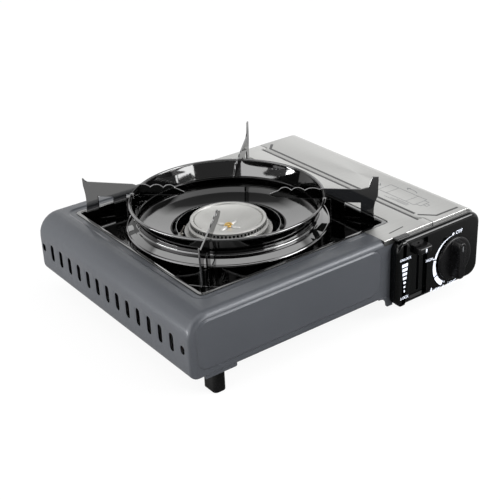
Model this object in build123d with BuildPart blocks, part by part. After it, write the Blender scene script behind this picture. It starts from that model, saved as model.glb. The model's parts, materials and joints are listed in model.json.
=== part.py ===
from build123d import *
import os
from math import atan2, cos, degrees, hypot, radians, sin

# Portable one-burner gas stove. All sizes are in millimetres.
# The origin is on the ground under the middle of the stove: +X right, +Y rear, +Z up.

# Body
body_width = 345.0
body_depth = 275.0
body_height = 62.0
foot_height = 24.5  # ground to the underside of the body
sheet = 1.0  # thickness of the pressed steel
top_left_radius = 22.0
base_left_radius = 9.0
top_right_radius = 14.0
base_right_radius = 10.0
edge_radius = 5.0  # rounding of the front and rear edges
bay_drop = 11.0  # the cartridge bay hangs this much below the body
bay_shelf = 10.5  # the dropped bay starts this far left of the partition
step_radius = 4.0
trough_radius = 3.5  # bend at the foot of the step in the bottom plate
trough_lip_radius = 2.0
underside_flange = 10.0
plate_bearing = 4.0  # overlap of the bottom plate on the underside flange
part_gap = 0.4  # gap between pieces that move past each other
lid_gap = 0.6  # gap beside the lid's hinged edge, so that it swings past upright
seat_gap = 0.3  # gap between pieces that only lie beside each other

# Front panel pressing and side vents
pressing_rise = 0.8
pressing_slope = 30.0  # degrees
pressing_left = 8.0
pressing_gap = 5.0  # to the control panel
pressing_bottom = 8.0
pressing_top = 55.0
pressing_radius = 11.0
vent_count = 15
vent_pitch = 18.3
vent_width = 4.2
vent_height = 17.5
end_vent_height = 10.0
vent_centre_z = 28.3

# Deck, drip tray and pan support
tray_inset = 33.0  # left side to the drip tray
tray_setback = 28.0  # front face to the drip tray
tray_side_margin = 9.7  # platform to the outer edge of the tray, left and right
tray_end_margin = 12.2  # and front and rear
tray_corner = 4.0
tray_floor_z = 38.0  # above the underside of the body
enamel_sheet = 1.0
ledge_drop = 1.5
ledge_width = 3.4
tray_gap = 0.6
wall_taper = 2.0
platform_radius = 100.8
platform_rise = 22.0  # above the tray floor
bowl_inset = 26.0  # ring neck to the foot of the bowl's wall
bowl_depth = 7.0
bowl_fall = 1.5
platform_bend = 3.0
hole_radius = 52.0
hole_lip = 2.0
ring_foot_margin = 10.5  # edge of the platform to the neck of the ring
ring_flare = 5.5
ring_height = 23.6
ring_bead = 1.4
ring_foot_width = 14.0
ring_foot_rise = 7.0
support_sheet = 1.6
support_gap = 0.8  # around the rolled rim of the ring
support_leg_width = 13.7
support_foot_width = 12.6
support_corner_gap = 7.2  # outer foot to the corner of the tray
window_drop = 2.8
arm_lift = 0.2  # the arm rests this far above the middle of the ring's bead
arm_crest = 11.7
prong_height = 24.6
tip_height = 16.4

# Burner and gas supply
burner_rim_radius = 38.4
burner_rim_z = 61.5
port_ring_radius = 36.8
port_count = 48
port_size = 2.2
flange_radius = 44.0
flange_z = 46.5
flange_thickness = 3.0
cup_top_radius = 34.0
cup_base_radius = 26.0
cup_base_z = 6.0
cup_wall = 2.5
socket_wall = 2.0
socket_length = 14.0
head_wall = 2.2
head_bowl_radius = 16.0
head_bowl_drop = 7.0
head_rim_height = 2.6
head_port_wall = 3.2
head_bevel = 0.6
burner_screw_radius = 3.6
burner_screw_height = 2.6
screw_slot = 1.0
bracket_reach = 38.0
bracket_width = 24.0
bracket_sheet = 1.5
bracket_foot = 14.0
bolt_radius = 3.6
bolt_height = 2.2
tube_z = 16.0
tube_radius = 8.0
tube_bore = 6.5
tube_overlap = 4.0  # the mixing tube reaches this far past the foot of the cup
venturi_flare = 2.5
venturi_length = 5.0
pipe_radius = 2.5
pipe_wall = 0.8
pipe_bend = 8.0
pipe_gap = 4.5  # axis of the pipe to the partition
pipe_tail = 14.0  # last run of the pipe, to the jet
pipe_y = 38.0
jet_gap = 8.0  # mouth of the mixing tube to the end of the gas pipe
jet_radius = 4.0
jet_length = 10.0
jet_tip_radius = 2.0
jet_tip = 3.0
jet_bracket_foot = 10.0
nut_across = 11.0
nut_length = 7.0
electrode_angle = 154.0
electrode_radius = 48.0
ceramic_radius = 2.5
ceramic_foot_z = 30.0
ceramic_top_z = 50.0
spark_tip_z = 57.5
spark_wire_radius = 0.7
spark_lean = 4.0
electrode_clip_z = 37.0
electrode_clip_length = 24.0
electrode_clip_width = 9.0
igniter_width = 11.0
igniter_height = 12.0
igniter_setback = 8.0
igniter_length = 28.0
igniter_drop = 9.6  # axis of the knob to the top of the igniter
lead_radius = 1.2
lead_y = 49.0
lead_bend = 9.0
lead_clip_places = (90.0, 170.0)  # from the left side
last_clip_inset = 20.0  # left of the bay
lead_clip_width = 12.0
lead_clip_length = 8.0
lead_clip_wall = 1.5

# Gas regulator, around the axis of the knob
regulator_plate_width = 34.0
regulator_plate_height = 24.0
regulator_plate = 4.0
barrel_radius = 13.0
regulator_setback = 24.0
regulator_depth = 22.0
regulator_width = 35.0
regulator_below = 16.0
regulator_above = 20.0
nozzle_radius = 6.0
nozzle_tip_radius = 2.5
nozzle_tip = 3.0
outlet_radius = 4.5
outlet_length = 3.5
cap_radius = 10.5
cap_height = 4.0
cap_crown_radius = 6.0
cap_crown = 3.0

# Cartridge bay
bay_side_gap = 5.0  # between the cartridge and the right side
cartridge_radius = 33.5
cartridge_length = 187.0
cartridge_gap = 0.5
saddle_floor = 1.5
saddle_length = 12.0
saddle_rise = 3.0
first_saddle = 30.0  # from the front of the cartridge
last_saddle = 142.0
partition_offset = 8.0  # partition to the bar of the pusher
partition_flange = 8.0
seat_plate_y = 52.0
seat_plate_sheet = 1.2
seat_plate_top = 50.0
seat_plate_foot = 9.0
seat_y = 57.0  # tip of the gas valve, where the cartridge seals
pusher_travel = 8.0
pusher_y = 250.0
link_gap = 3.5  # between the cartridge and the bar of the pusher
link_sheet = 1.5
link_lift = 0.5  # the bar runs this far above the floor of the bay
link_bar_top = 10.0  # top of the bar, above the outside of the bay's floor
pusher_sheet = 1.5
pusher_right = 26.0
pusher_top = 44.0
pusher_pad_radius = 20.0
cam_y = 16.0
cam_front = 6.0
cam_rear = 6.0
cam_above = 7.0
cam_below = 4.5
cam_pin_radius = 2.0
slider_sheet = 1.5
slider_left = 6.5
slider_right = 4.0
slider_below = 8.0
slider_above = 6.0
slider_arm_half = 5.0
slider_arm_reach = 4.0

# Control panel, knob and lock lever
block_width = 18.5  # raised left part of the panel
panel_inset = 8.0  # edge of the painted skin to the panel
panel_proud = 8.0
panel_below = 11.0
panel_head = 5.3  # above the channel
panel_corner = 13.0
panel_wall = 2.5
panel_edge = 2.0
block_gap = 1.0  # between the raised block and the channel
block_rise = 2.0
channel_width = 22.0
channel_depth = 3.0
channel_edge = 12.5  # axis of the lever to the left edge of its channel
channel_foot = 4.0
channel_head = 9.0
panel_screw_radius = 1.5
panel_screw_head = 3.0
panel_screw_depth = 5.0
panel_boss_radius = 3.6
lever_offset = 6.5  # axis of the lever to the bar of the pusher
lever_lock_z = 3.0  # lever pressed down, above the underside of the body
lever_travel = 42.0
stem_width = 3.0
stem_height = 6.0
lever_width = 18.0
lever_height = 8.0
lever_reach = 16.0  # front of the lever, ahead of the body's front face
knob_inset = 36.2  # axis of the knob, from the right side
knob_z = 18.6
knob_radius = 22.5
knob_disc = 2.2
knob_reach = 12.0  # front of the knob, ahead of the panel
knob_bevel = 0.8
knob_neck_radius = 6.0
knob_neck = 4.0
grip_width = 12.0
grip_length = 42.0
spindle_radius = 3.0
spindle_depth = 15.0  # end of the spindle, behind the front face
spindle_cover = 3.5
running_gap = 0.05

# Lid and hinge
lid_lap = 6.0  # the hinged edge lies this far over the cartridge
lid_skirt = 6.0
lid_side_bottom = 22.0
curl_radius = 2.2
pin_radius = 1.2
pin_length = 10.0
tab_depth = 12.6
tab_reach = 7.0
ear_sheet = 1.2

# Feet
foot_width = 13.0
foot_depth = 16.0
left_foot_inset = 32.0
right_foot_inset = 34.0
foot_setback = 3.5
bay_foot_shift = 8.0  # the foot under the controls stands further in
foot_round = 4.0
foot_floor = 7.0
screw_radius = 2.0
screw_head_radius = 3.8
screw_head = 2.0

# Places that follow from the sizes
overall_depth = body_depth + panel_proud + knob_reach
left = -body_width / 2
right = body_width / 2
front = panel_proud + knob_reach - overall_depth / 2
rear = front + body_depth
base = foot_height
top = base + body_height
low = base - bay_drop
tray_width = 2 * (platform_radius + tray_side_margin)
tray_depth = 2 * (platform_radius + tray_end_margin)
burner_x = left + tray_inset + tray_width / 2
burner_y = front + tray_setback + tray_depth / 2
burner_axis = Axis((burner_x, burner_y, 0), (0, 0, 1))
cartridge_x = right - sheet - bay_side_gap - cartridge_radius
cartridge_z = low + 2 * sheet + saddle_floor + cartridge_gap + cartridge_radius
lid_left = cartridge_x - cartridge_radius + lid_lap
hinge_x = lid_left + curl_radius
hinge_z = top - curl_radius
link_left = cartridge_x - cartridge_radius - link_gap
link_right = link_left + link_sheet
lever_x = link_left - lever_offset
lever_z = lever_lock_z + lever_travel
channel_left = lever_x - channel_edge
panel_left = channel_left - block_gap - block_width
plate_left = panel_left - panel_inset
panel_width = right - panel_left
pressing_right = plate_left - left - pressing_gap
panel_height = panel_below + lever_z + channel_head + panel_head
partition_x = link_left - partition_offset
bay_left = partition_x - bay_shelf
spindle_x = right - knob_inset
spindle_z = base + knob_z
pipe_run_x = partition_x - pipe_gap
mouth_x = pipe_run_x - pipe_tail - jet_gap
rim_z = top - ledge_drop
tray_wall_width = tray_width - 2 * (ledge_width + tray_gap)
tray_wall_depth = tray_depth - 2 * (ledge_width + tray_gap)
platform_z = tray_floor_z + platform_rise
ring_neck_radius = platform_radius - ring_foot_margin
ring_rim_radius = ring_neck_radius + ring_flare
ring_rim_z = platform_z + ring_height
bowl_radius = ring_neck_radius - bowl_inset
bowl_floor_z = platform_z - bowl_depth
arm_underside_z = ring_rim_z + arm_lift
foot_middle = foot_setback + foot_depth / 2
feet_places = {
    "foot_front_left": (left + left_foot_inset, front + foot_middle, base),
    "foot_rear_left": (left + left_foot_inset, rear - foot_middle, base),
    "foot_front_right": (right - right_foot_inset, front + foot_middle + bay_foot_shift, low),
    "foot_rear_right": (right - right_foot_inset, rear - foot_middle, low),
}
panel_screws_at = [
    (panel_left + 9.0, base + 9.0),
    (right - 13.0, base + 48.0),
    (right - 13.0, base - 1.0),
]


def at_x(x):
    """Upright plane across X: sketch Y and Z, extrude towards +X."""
    return Plane.YZ.offset(x)


def at_y(y):
    """Upright plane across Y: sketch X and Z, extrude towards the front."""
    return Plane.XZ.offset(-y)


def at_z(z):
    """Level plane: sketch X and Y, extrude upwards."""
    return Plane.XY.offset(z)


def radial(angle):
    """Upright plane through the burner axis: sketch radius and height."""
    turn = radians(angle)
    return Plane(
        origin=(burner_x, burner_y, base),
        x_dir=(cos(turn), sin(turn), 0),
        z_dir=(sin(turn), -cos(turn), 0),
    )


def around_burner(radius, angle, z):
    """Point at a radius and an angle from the burner axis."""
    turn = radians(angle)
    return (burner_x + radius * cos(turn), burner_y + radius * sin(turn), z)


def block(x0, x1, y0, y1, z0, z1, mode=Mode.ADD):
    """Box between two corners, added to the part in hand or cut from it."""
    with Locations(((x0 + x1) / 2, (y0 + y1) / 2, (z0 + z1) / 2)):
        Box(x1 - x0, y1 - y0, z1 - z0, mode=mode)


def rod(start, end, radius, mode=Mode.ADD):
    """Round bar from start to end, added to the part in hand or cut from it."""
    run = Vector(*end) - Vector(*start)
    with Locations(Plane(origin=start, z_dir=run)):
        Cylinder(radius, run.length, align=(Align.CENTER, Align.CENTER, Align.MIN), mode=mode)


def tray_outline(width, depth, corner, mode=Mode.ADD):
    """Rectangle with rounded corners around the burner axis, in the sketch in hand."""
    with Locations((burner_x, burner_y)):
        RectangleRounded(width, depth, corner, mode=mode)


def body_volume(inset):
    """Closed volume of the body, moved in by inset on every side."""
    with BuildPart() as volume:
        with BuildSketch(at_y(rear - inset)):
            with BuildLine():
                FilletPolyline(
                    (left + inset, base + inset),
                    (left + inset, top - inset),
                    (right - inset, top - inset),
                    (right - inset, low + inset),
                    (bay_left + inset, low + inset),
                    (bay_left + inset, base + inset),
                    radius=[
                        base_left_radius - inset,
                        top_left_radius - inset,
                        top_right_radius - inset,
                        base_right_radius - inset,
                        step_radius - inset,
                        step_radius + inset,
                    ],
                    close=True,
                )
            make_face()
        extrude(amount=body_depth - 2 * inset)
        ends = volume.edges().group_by(Axis.Y)
        fillet(ends[0] + ends[-1], edge_radius - inset)
    return volume.part


# The whole pressed skin, from which the shell, the centre plate and the lid are taken
with BuildPart() as skin:
    add(body_volume(0))
    add(body_volume(sheet), mode=Mode.SUBTRACT)
    # opening for the drip tray, with a sunk ledge around it
    with BuildSketch(at_z(rim_z - sheet)):
        sunk = tray_gap + sheet
        tray_outline(tray_width + 2 * sunk, tray_depth + 2 * sunk, tray_corner + sunk)
    extrude(amount=top - rim_z + sheet)
    with BuildSketch(at_z(rim_z)):
        tray_outline(tray_width + 2 * tray_gap, tray_depth + 2 * tray_gap, tray_corner + tray_gap)
    extrude(amount=ledge_drop, mode=Mode.SUBTRACT)
    with BuildSketch(at_z(rim_z - sheet)):
        tray_outline(tray_width - 2 * ledge_width, tray_depth - 2 * ledge_width, tray_corner)
    extrude(amount=top - rim_z + sheet, mode=Mode.SUBTRACT)

with BuildPart() as body_shell:
    add(skin.part)
    block(plate_left, right + 1, front - 1, rear + 1, top - lid_skirt, top + 1, mode=Mode.SUBTRACT)
    block(lid_left, right + 1, front - 1, rear + 1, top - lid_skirt - part_gap, top, mode=Mode.SUBTRACT)
    block(
        right - edge_radius - part_gap,
        right + 1,
        front - 1,
        rear + 1,
        base + lid_side_bottom - part_gap,
        top,
        mode=Mode.SUBTRACT,
    )
    # underside, closed by the bottom plate
    block(
        left + base_left_radius + underside_flange,
        right - base_right_radius - underside_flange,
        front + underside_flange,
        rear - underside_flange,
        low - 1,
        base + sheet,
        mode=Mode.SUBTRACT,
    )
    # raised pressing in the front face
    pressing_middle = (
        left + (pressing_left + pressing_right) / 2,
        base + (pressing_bottom + pressing_top) / 2,
    )
    with BuildSketch(at_y(front)):
        with Locations(pressing_middle):
            RectangleRounded(
                pressing_right - pressing_left,
                pressing_top - pressing_bottom,
                pressing_radius,
            )
    extrude(amount=pressing_rise, taper=pressing_slope)
    # vents in the left side
    for row in range(vent_count):
        end_vent = row in (0, vent_count - 1)
        slot_height = end_vent_height if end_vent else vent_height
        vent_y = (front + rear) / 2 + (row - (vent_count - 1) / 2) * vent_pitch
        with BuildSketch(at_x(left - 1)):
            with Locations((vent_y, base + vent_centre_z)):
                SlotOverall(slot_height, vent_width, rotation=90)
        extrude(amount=sheet + 2, mode=Mode.SUBTRACT)
    # openings behind the control panel: knob spindle, lock lever and screws
    rod(
        (spindle_x, front - 1, spindle_z),
        (spindle_x, front + 2 * sheet, spindle_z),
        knob_neck_radius,
        Mode.SUBTRACT,
    )
    block(
        lever_x - stem_width,
        lever_x + stem_width,
        front - 1,
        front + sheet + 1,
        base + lever_z - lever_travel - stem_height,
        base + lever_z + stem_height,
        mode=Mode.SUBTRACT,
    )
    for x, z in panel_screws_at:
        rod((x, front - 1, z), (x, front + 2 * sheet, z), panel_screw_radius + seat_gap, Mode.SUBTRACT)
    # notches for the foot screws in the edge of the underside flange
    for foot_x, screw_y, underside in feet_places.values():
        rod(
            (foot_x, screw_y, underside - 1),
            (foot_x, screw_y, underside + 2 * sheet),
            screw_radius + running_gap,
            Mode.SUBTRACT,
        )

with BuildPart() as centre_plate:
    add(skin.part)
    with BuildSketch(at_z(top - lid_skirt)):
        with BuildLine():
            Polyline(
                (plate_left, front - 1),
                (lid_left + tab_reach, front - 1),
                (lid_left + tab_reach, front + tab_depth),
                (lid_left - lid_gap, front + tab_depth),
                (lid_left - lid_gap, rear - tab_depth),
                (lid_left + tab_reach, rear - tab_depth),
                (lid_left + tab_reach, rear + 1),
                (plate_left, rear + 1),
                close=True,
            )
        make_face()
    extrude(amount=lid_skirt, mode=Mode.INTERSECT)
    # ears that hold the hinge pins
    for ear_y in (front + tab_depth - ear_sheet, rear - tab_depth):
        block(
            hinge_x - curl_radius,
            lid_left + tab_reach,
            ear_y,
            ear_y + ear_sheet,
            hinge_z - curl_radius,
            top - sheet,
        )
        rod(
            (hinge_x, ear_y - 1, hinge_z),
            (hinge_x, ear_y + ear_sheet + 1, hinge_z),
            pin_radius + running_gap,
            Mode.SUBTRACT,
        )

with BuildPart() as cartridge_lid:
    add(skin.part)
    with BuildSketch(at_y(rear + 1)):
        with BuildLine():
            Polyline(
                (hinge_x, top + 1),
                (right + 1, top + 1),
                (right + 1, base + lid_side_bottom),
                (right - edge_radius, base + lid_side_bottom),
                (right - edge_radius, top - lid_skirt),
                (hinge_x, top - lid_skirt),
                close=True,
            )
        make_face()
    extrude(amount=body_depth + 2, mode=Mode.INTERSECT)
    for notch_start, notch_end in (
        (front - 1, front + tab_depth + part_gap),
        (rear - tab_depth - part_gap, rear + 1),
    ):
        block(
            lid_left - 1,
            lid_left + tab_reach + part_gap,
            notch_start,
            notch_end,
            top - lid_skirt - 1,
            top + 1,
            mode=Mode.SUBTRACT,
        )
    curl_start = front + tab_depth + part_gap
    curl_end = rear - tab_depth - part_gap
    rod((hinge_x, curl_start, hinge_z), (hinge_x, curl_end, hinge_z), curl_radius)
    rod(
        (hinge_x, curl_start, hinge_z),
        (hinge_x, curl_end, hinge_z),
        pin_radius + running_gap,
        Mode.SUBTRACT,
    )

with BuildPart() as hinge_pins:
    ear_front = front + tab_depth - ear_sheet
    ear_rear = rear - tab_depth + ear_sheet
    for ear_face, inward in ((ear_front, 1), (ear_rear, -1)):
        rod(
            (hinge_x, ear_face - inward, hinge_z),
            (hinge_x, ear_face + inward * pin_length, hinge_z),
            pin_radius,
        )

with BuildPart() as bottom_plate:
    plate_start = left + base_left_radius + underside_flange - plate_bearing
    plate_end = right - base_right_radius - underside_flange + plate_bearing
    with BuildSketch(at_y(rear - underside_flange + plate_bearing)):
        with BuildLine():
            FilletPolyline(
                (plate_start, base + sheet),
                (bay_left + sheet, base + sheet),
                (bay_left + sheet, low + sheet),
                (plate_end, low + sheet),
                (plate_end, low + 2 * sheet),
                (bay_left + 2 * sheet, low + 2 * sheet),
                (bay_left + 2 * sheet, base + 2 * sheet),
                (plate_start, base + 2 * sheet),
                radius=[
                    0,
                    trough_lip_radius,
                    trough_radius,
                    0,
                    0,
                    trough_radius - sheet,
                    trough_lip_radius + sheet,
                    0,
                ],
                close=True,
            )
        make_face()
    extrude(amount=body_depth - 2 * (underside_flange - plate_bearing))
    for foot_x, screw_y, underside in feet_places.values():
        rod(
            (foot_x, screw_y, underside - 1),
            (foot_x, screw_y, underside + 3 * sheet),
            screw_radius + running_gap,
            Mode.SUBTRACT,
        )

with BuildPart() as bay_partition:
    partition_start = front + seat_plate_y + 2
    partition_end = rear - edge_radius - seat_gap
    sheet_x = partition_x
    floor_z = low + 2 * sheet
    block(sheet_x, sheet_x + sheet, partition_start, partition_end, floor_z, top - sheet)
    block(
        bay_left + sheet + trough_radius + seat_gap,
        sheet_x,
        partition_start,
        rear - underside_flange,
        floor_z,
        floor_z + sheet,
    )
    block(
        sheet_x,
        sheet_x + partition_flange,
        partition_start,
        partition_end,
        top - 2 * sheet,
        top - sheet,
    )

with BuildPart() as cartridge_cradle:
    cradle_right = right - base_right_radius - sheet
    for saddle_start in (first_saddle, last_saddle):
        saddle_y = front + seat_y + saddle_start
        saddle_end = saddle_y + saddle_length
        block(
            partition_x + sheet + seat_gap,
            cradle_right,
            saddle_y,
            saddle_end,
            low + 2 * sheet,
            base + saddle_rise,
        )
        rod(
            (cartridge_x, saddle_y - 1, cartridge_z),
            (cartridge_x, saddle_end + 1, cartridge_z),
            cartridge_radius + cartridge_gap,
            Mode.SUBTRACT,
        )
        # slot that guides the bar of the pusher
        block(
            link_left - seat_gap,
            link_right + seat_gap,
            saddle_y,
            saddle_end,
            low + 2 * sheet + link_lift,
            base + saddle_rise,
            mode=Mode.SUBTRACT,
        )

with BuildPart() as seat_plate:
    seat_left = link_right + 2
    seat_front = front + seat_plate_y
    seat_rear = seat_front + seat_plate_sheet
    seat_foot_z = low + 2 * sheet
    seat_foot_top = seat_foot_z + base_right_radius
    block(seat_left, right - 3 * sheet, seat_front, seat_rear, seat_foot_top, base + seat_plate_top)
    block(seat_left, cradle_right, seat_front, seat_rear, seat_foot_z, seat_foot_top)
    block(
        seat_left,
        cradle_right,
        seat_rear,
        seat_front + seat_plate_foot,
        seat_foot_z,
        seat_foot_z + sheet,
    )
    rod(
        (cartridge_x, seat_front - 1, cartridge_z),
        (cartridge_x, seat_rear + 1, cartridge_z),
        nozzle_radius + seat_gap,
        Mode.SUBTRACT,
    )

with BuildPart() as regulator_body:
    plate_y = front + sheet
    regulator_front = front + regulator_setback
    regulator_rear = regulator_front + regulator_depth
    block(
        spindle_x - regulator_plate_width / 2,
        spindle_x + regulator_plate_width / 2,
        plate_y,
        plate_y + regulator_plate,
        spindle_z - regulator_plate_height / 2,
        spindle_z + regulator_plate_height / 2,
    )
    rod((spindle_x, plate_y, spindle_z), (spindle_x, regulator_front, spindle_z), barrel_radius)
    block(
        spindle_x - regulator_width / 2,
        spindle_x + regulator_width / 2,
        regulator_front,
        regulator_rear,
        spindle_z - regulator_below,
        spindle_z + regulator_above,
    )
    # nozzle that enters the cartridge, and outlet to the gas pipe
    nozzle_end = front + seat_y
    rod(
        (cartridge_x, regulator_rear, cartridge_z),
        (cartridge_x, nozzle_end - nozzle_tip, cartridge_z),
        nozzle_radius,
    )
    rod(
        (cartridge_x, nozzle_end - nozzle_tip, cartridge_z),
        (cartridge_x, nozzle_end, cartridge_z),
        nozzle_tip_radius,
    )
    outlet_x = spindle_x - regulator_width / 2
    nut_x = outlet_x - outlet_length
    rod(
        (outlet_x, front + pipe_y, base + tube_z),
        (nut_x, front + pipe_y, base + tube_z),
        outlet_radius,
    )
    rod(
        (spindle_x, front, spindle_z),
        (spindle_x, front + spindle_depth + 1, spindle_z),
        spindle_radius + running_gap,
        Mode.SUBTRACT,
    )

with BuildPart() as regulator_cap:
    cap_base = spindle_z + regulator_above
    cap_y = (regulator_front + regulator_rear) / 2
    crown_top = cap_base + cap_height + cap_crown
    rod((spindle_x, cap_y, cap_base), (spindle_x, cap_y, cap_base + cap_height), cap_radius)
    rod((spindle_x, cap_y, cap_base + cap_height), (spindle_x, cap_y, crown_top), cap_crown_radius)
    fillet(regulator_cap.edges().group_by(Axis.Z)[-1], 1.0)

with BuildPart() as pipe_nut:
    with BuildSketch(at_x(nut_x - nut_length)):
        with Locations((front + pipe_y, base + tube_z)):
            RegularPolygon(nut_across / 2, 6)
    extrude(amount=nut_length)
    rod(
        (nut_x - nut_length - 1, front + pipe_y, base + tube_z),
        (nut_x + 1, front + pipe_y, base + tube_z),
        pipe_radius + running_gap,
        Mode.SUBTRACT,
    )

with BuildPart() as gas_pipe:
    pipe_end = mouth_x + jet_gap
    with BuildLine() as pipe_route:
        FilletPolyline(
            (nut_x, front + pipe_y, base + tube_z),
            (pipe_run_x, front + pipe_y, base + tube_z),
            (pipe_run_x, burner_y, base + tube_z),
            (pipe_end, burner_y, base + tube_z),
            radius=pipe_bend,
        )
    with BuildSketch(Plane(origin=pipe_route.line @ 0, z_dir=pipe_route.line % 0)):
        Circle(pipe_radius)
        Circle(pipe_radius - pipe_wall, mode=Mode.SUBTRACT)
    sweep(path=pipe_route.line)

with BuildPart() as gas_jet:
    jet_shoulder = pipe_end - jet_length
    rod((pipe_end, burner_y, base + tube_z), (jet_shoulder, burner_y, base + tube_z), jet_radius)
    rod(
        (jet_shoulder, burner_y, base + tube_z),
        (jet_shoulder - jet_tip, burner_y, base + tube_z),
        jet_tip_radius,
    )

with BuildPart() as jet_bracket:
    bracket_x = (pipe_end + mouth_x) / 2 - bracket_sheet / 2
    jet_side = bracket_width / 2
    plate_z = base + 2 * sheet
    block(
        bracket_x,
        bracket_x + bracket_sheet,
        burner_y - jet_side,
        burner_y + jet_side,
        plate_z,
        base + tube_z + 2 * jet_radius,
    )
    block(
        bracket_x - jet_bracket_foot,
        bracket_x,
        burner_y - jet_side,
        burner_y + jet_side,
        plate_z,
        plate_z + sheet,
    )
    rod(
        (bracket_x - 1, burner_y, base + tube_z),
        (bracket_x + bracket_sheet + 1, burner_y, base + tube_z),
        jet_radius + running_gap,
        Mode.SUBTRACT,
    )

with BuildPart() as mixing_tube:
    tube_end = burner_x + cup_base_radius + tube_overlap
    rod((mouth_x, burner_y, base + tube_z), (tube_end, burner_y, base + tube_z), tube_radius)
    rod(
        (mouth_x, burner_y, base + tube_z),
        (mouth_x - venturi_length, burner_y, base + tube_z),
        tube_radius + venturi_flare,
    )
    chamfer(mixing_tube.edges().group_by(Axis.X)[-1], 1.0)
    rod(
        (mouth_x + 1, burner_y, base + tube_z),
        (tube_end - 1, burner_y, base + tube_z),
        tube_bore,
        Mode.SUBTRACT,
    )

with BuildPart() as burner_base:
    with BuildSketch(radial(0)):
        with BuildLine():
            Polyline(
                (0, cup_base_z),
                (cup_base_radius, cup_base_z),
                (cup_top_radius, flange_z),
                (flange_radius, flange_z),
                (flange_radius, flange_z + flange_thickness),
                (cup_top_radius - cup_wall, flange_z + flange_thickness),
                (cup_base_radius - cup_wall, cup_base_z + cup_wall),
                (0, cup_base_z + cup_wall),
                close=True,
            )
        make_face()
    revolve(axis=burner_axis)
    socket_start = burner_x + cup_base_radius - tube_radius
    socket_end = tube_end + socket_length
    rod(
        (socket_start, burner_y, base + tube_z),
        (socket_end, burner_y, base + tube_z),
        tube_radius + socket_wall,
    )
    rod(
        (tube_end, burner_y, base + tube_z),
        (socket_end + 1, burner_y, base + tube_z),
        tube_radius + running_gap,
        Mode.SUBTRACT,
    )
    rod(
        (socket_start - tube_bore, burner_y, base + tube_z),
        (socket_end, burner_y, base + tube_z),
        tube_bore,
        Mode.SUBTRACT,
    )

with BuildPart() as burner_head:
    head_z = flange_z + flange_thickness
    rim_under_z = burner_rim_z - head_rim_height
    bowl_z = burner_rim_z - head_bowl_drop
    head_inner = port_ring_radius - head_port_wall
    with BuildSketch(radial(0)):
        with BuildLine():
            Polyline(
                (port_ring_radius, head_z),
                (port_ring_radius, rim_under_z - 1),
                (burner_rim_radius, rim_under_z),
                (burner_rim_radius, burner_rim_z - head_bevel),
                (burner_rim_radius - head_bevel, burner_rim_z),
                (burner_rim_radius - head_rim_height, burner_rim_z),
                (burner_rim_radius - 2 * head_wall, burner_rim_z - head_wall),
                (head_bowl_radius, bowl_z + head_bevel),
                (0, bowl_z),
                (0, bowl_z - head_wall),
                (head_bowl_radius, bowl_z + head_bevel - head_wall),
                (head_inner, burner_rim_z - 2 * head_wall),
                (head_inner, head_z),
                close=True,
            )
        make_face()
    revolve(axis=burner_axis)
    # gas ports around the wall
    with BuildSketch(at_z(base + rim_under_z - 1 - port_size)):
        with Locations((burner_x, burner_y)):
            with PolarLocations(port_ring_radius - head_port_wall / 2, port_count):
                Rectangle(head_port_wall + 1, port_size)
    extrude(amount=port_size, mode=Mode.SUBTRACT)

with BuildPart() as burner_screw:
    screw_z = base + bowl_z
    screw_top = screw_z + burner_screw_height
    rod((burner_x, burner_y, screw_z), (burner_x, burner_y, screw_top), burner_screw_radius)
    with BuildSketch(radial(0)):
        with BuildLine():
            Polyline(
                (0, bowl_z),
                (head_bowl_radius, bowl_z + head_bevel),
                (head_bowl_radius, bowl_z),
                close=True,
            )
        make_face()
    revolve(axis=burner_axis, mode=Mode.SUBTRACT)
    block(
        burner_x - burner_screw_radius,
        burner_x + burner_screw_radius,
        burner_y - screw_slot / 2,
        burner_y + screw_slot / 2,
        screw_top - screw_slot,
        screw_top,
        mode=Mode.SUBTRACT,
    )

with BuildPart() as burner_bracket:
    bracket_top = base + tube_z - tube_radius - socket_wall
    bracket_left = burner_x - bracket_width / 2
    bracket_right = burner_x + bracket_width / 2
    block(
        bracket_left,
        bracket_right,
        burner_y - bracket_reach,
        burner_y + bracket_reach,
        bracket_top - bracket_sheet,
        bracket_top,
    )
    for side in (-1, 1):
        edge = burner_y + side * bracket_reach
        leg_ends = sorted((edge, edge - side * bracket_sheet))
        foot_ends = sorted((edge, edge + side * bracket_foot))
        block(bracket_left, bracket_right, *leg_ends, plate_z, bracket_top)
        block(bracket_left, bracket_right, *foot_ends, plate_z, plate_z + bracket_sheet)

with BuildPart() as burner_bolts:
    for side in (-1, 1):
        bolt_y = burner_y + side * (bracket_reach + bracket_foot / 2)
        bolt_z = plate_z + bracket_sheet
        rod((burner_x, bolt_y, bolt_z), (burner_x, bolt_y, bolt_z + bolt_height), bolt_radius)

with BuildPart() as electrode_clip:
    clip_middle = electrode_radius + electrode_clip_length / 4 - electrode_clip_length / 2
    with BuildSketch(radial(electrode_angle)):
        with Locations((clip_middle, electrode_clip_z)):
            Rectangle(electrode_clip_length, bracket_sheet)
    extrude(amount=electrode_clip_width / 2, both=True)
    # curved to the wall of the burner cup
    with BuildSketch(radial(0)):
        with BuildLine():
            Polyline(
                (0, cup_base_z),
                (cup_base_radius, cup_base_z),
                (cup_top_radius, flange_z),
                (0, flange_z),
                close=True,
            )
        make_face()
    revolve(axis=burner_axis, mode=Mode.SUBTRACT)
    rod(
        around_burner(electrode_radius, electrode_angle, base + ceramic_foot_z),
        around_burner(electrode_radius, electrode_angle, base + ceramic_top_z),
        ceramic_radius + running_gap,
        Mode.SUBTRACT,
    )

with BuildPart() as spark_electrode:
    ceramic_foot = around_burner(electrode_radius, electrode_angle, base + ceramic_foot_z)
    ceramic_top = around_burner(electrode_radius, electrode_angle, base + ceramic_top_z)
    spark_tip = around_burner(electrode_radius - spark_lean, electrode_angle, base + spark_tip_z)
    rod(ceramic_foot, ceramic_top, ceramic_radius)
    rod(ceramic_top, spark_tip, spark_wire_radius)

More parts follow.
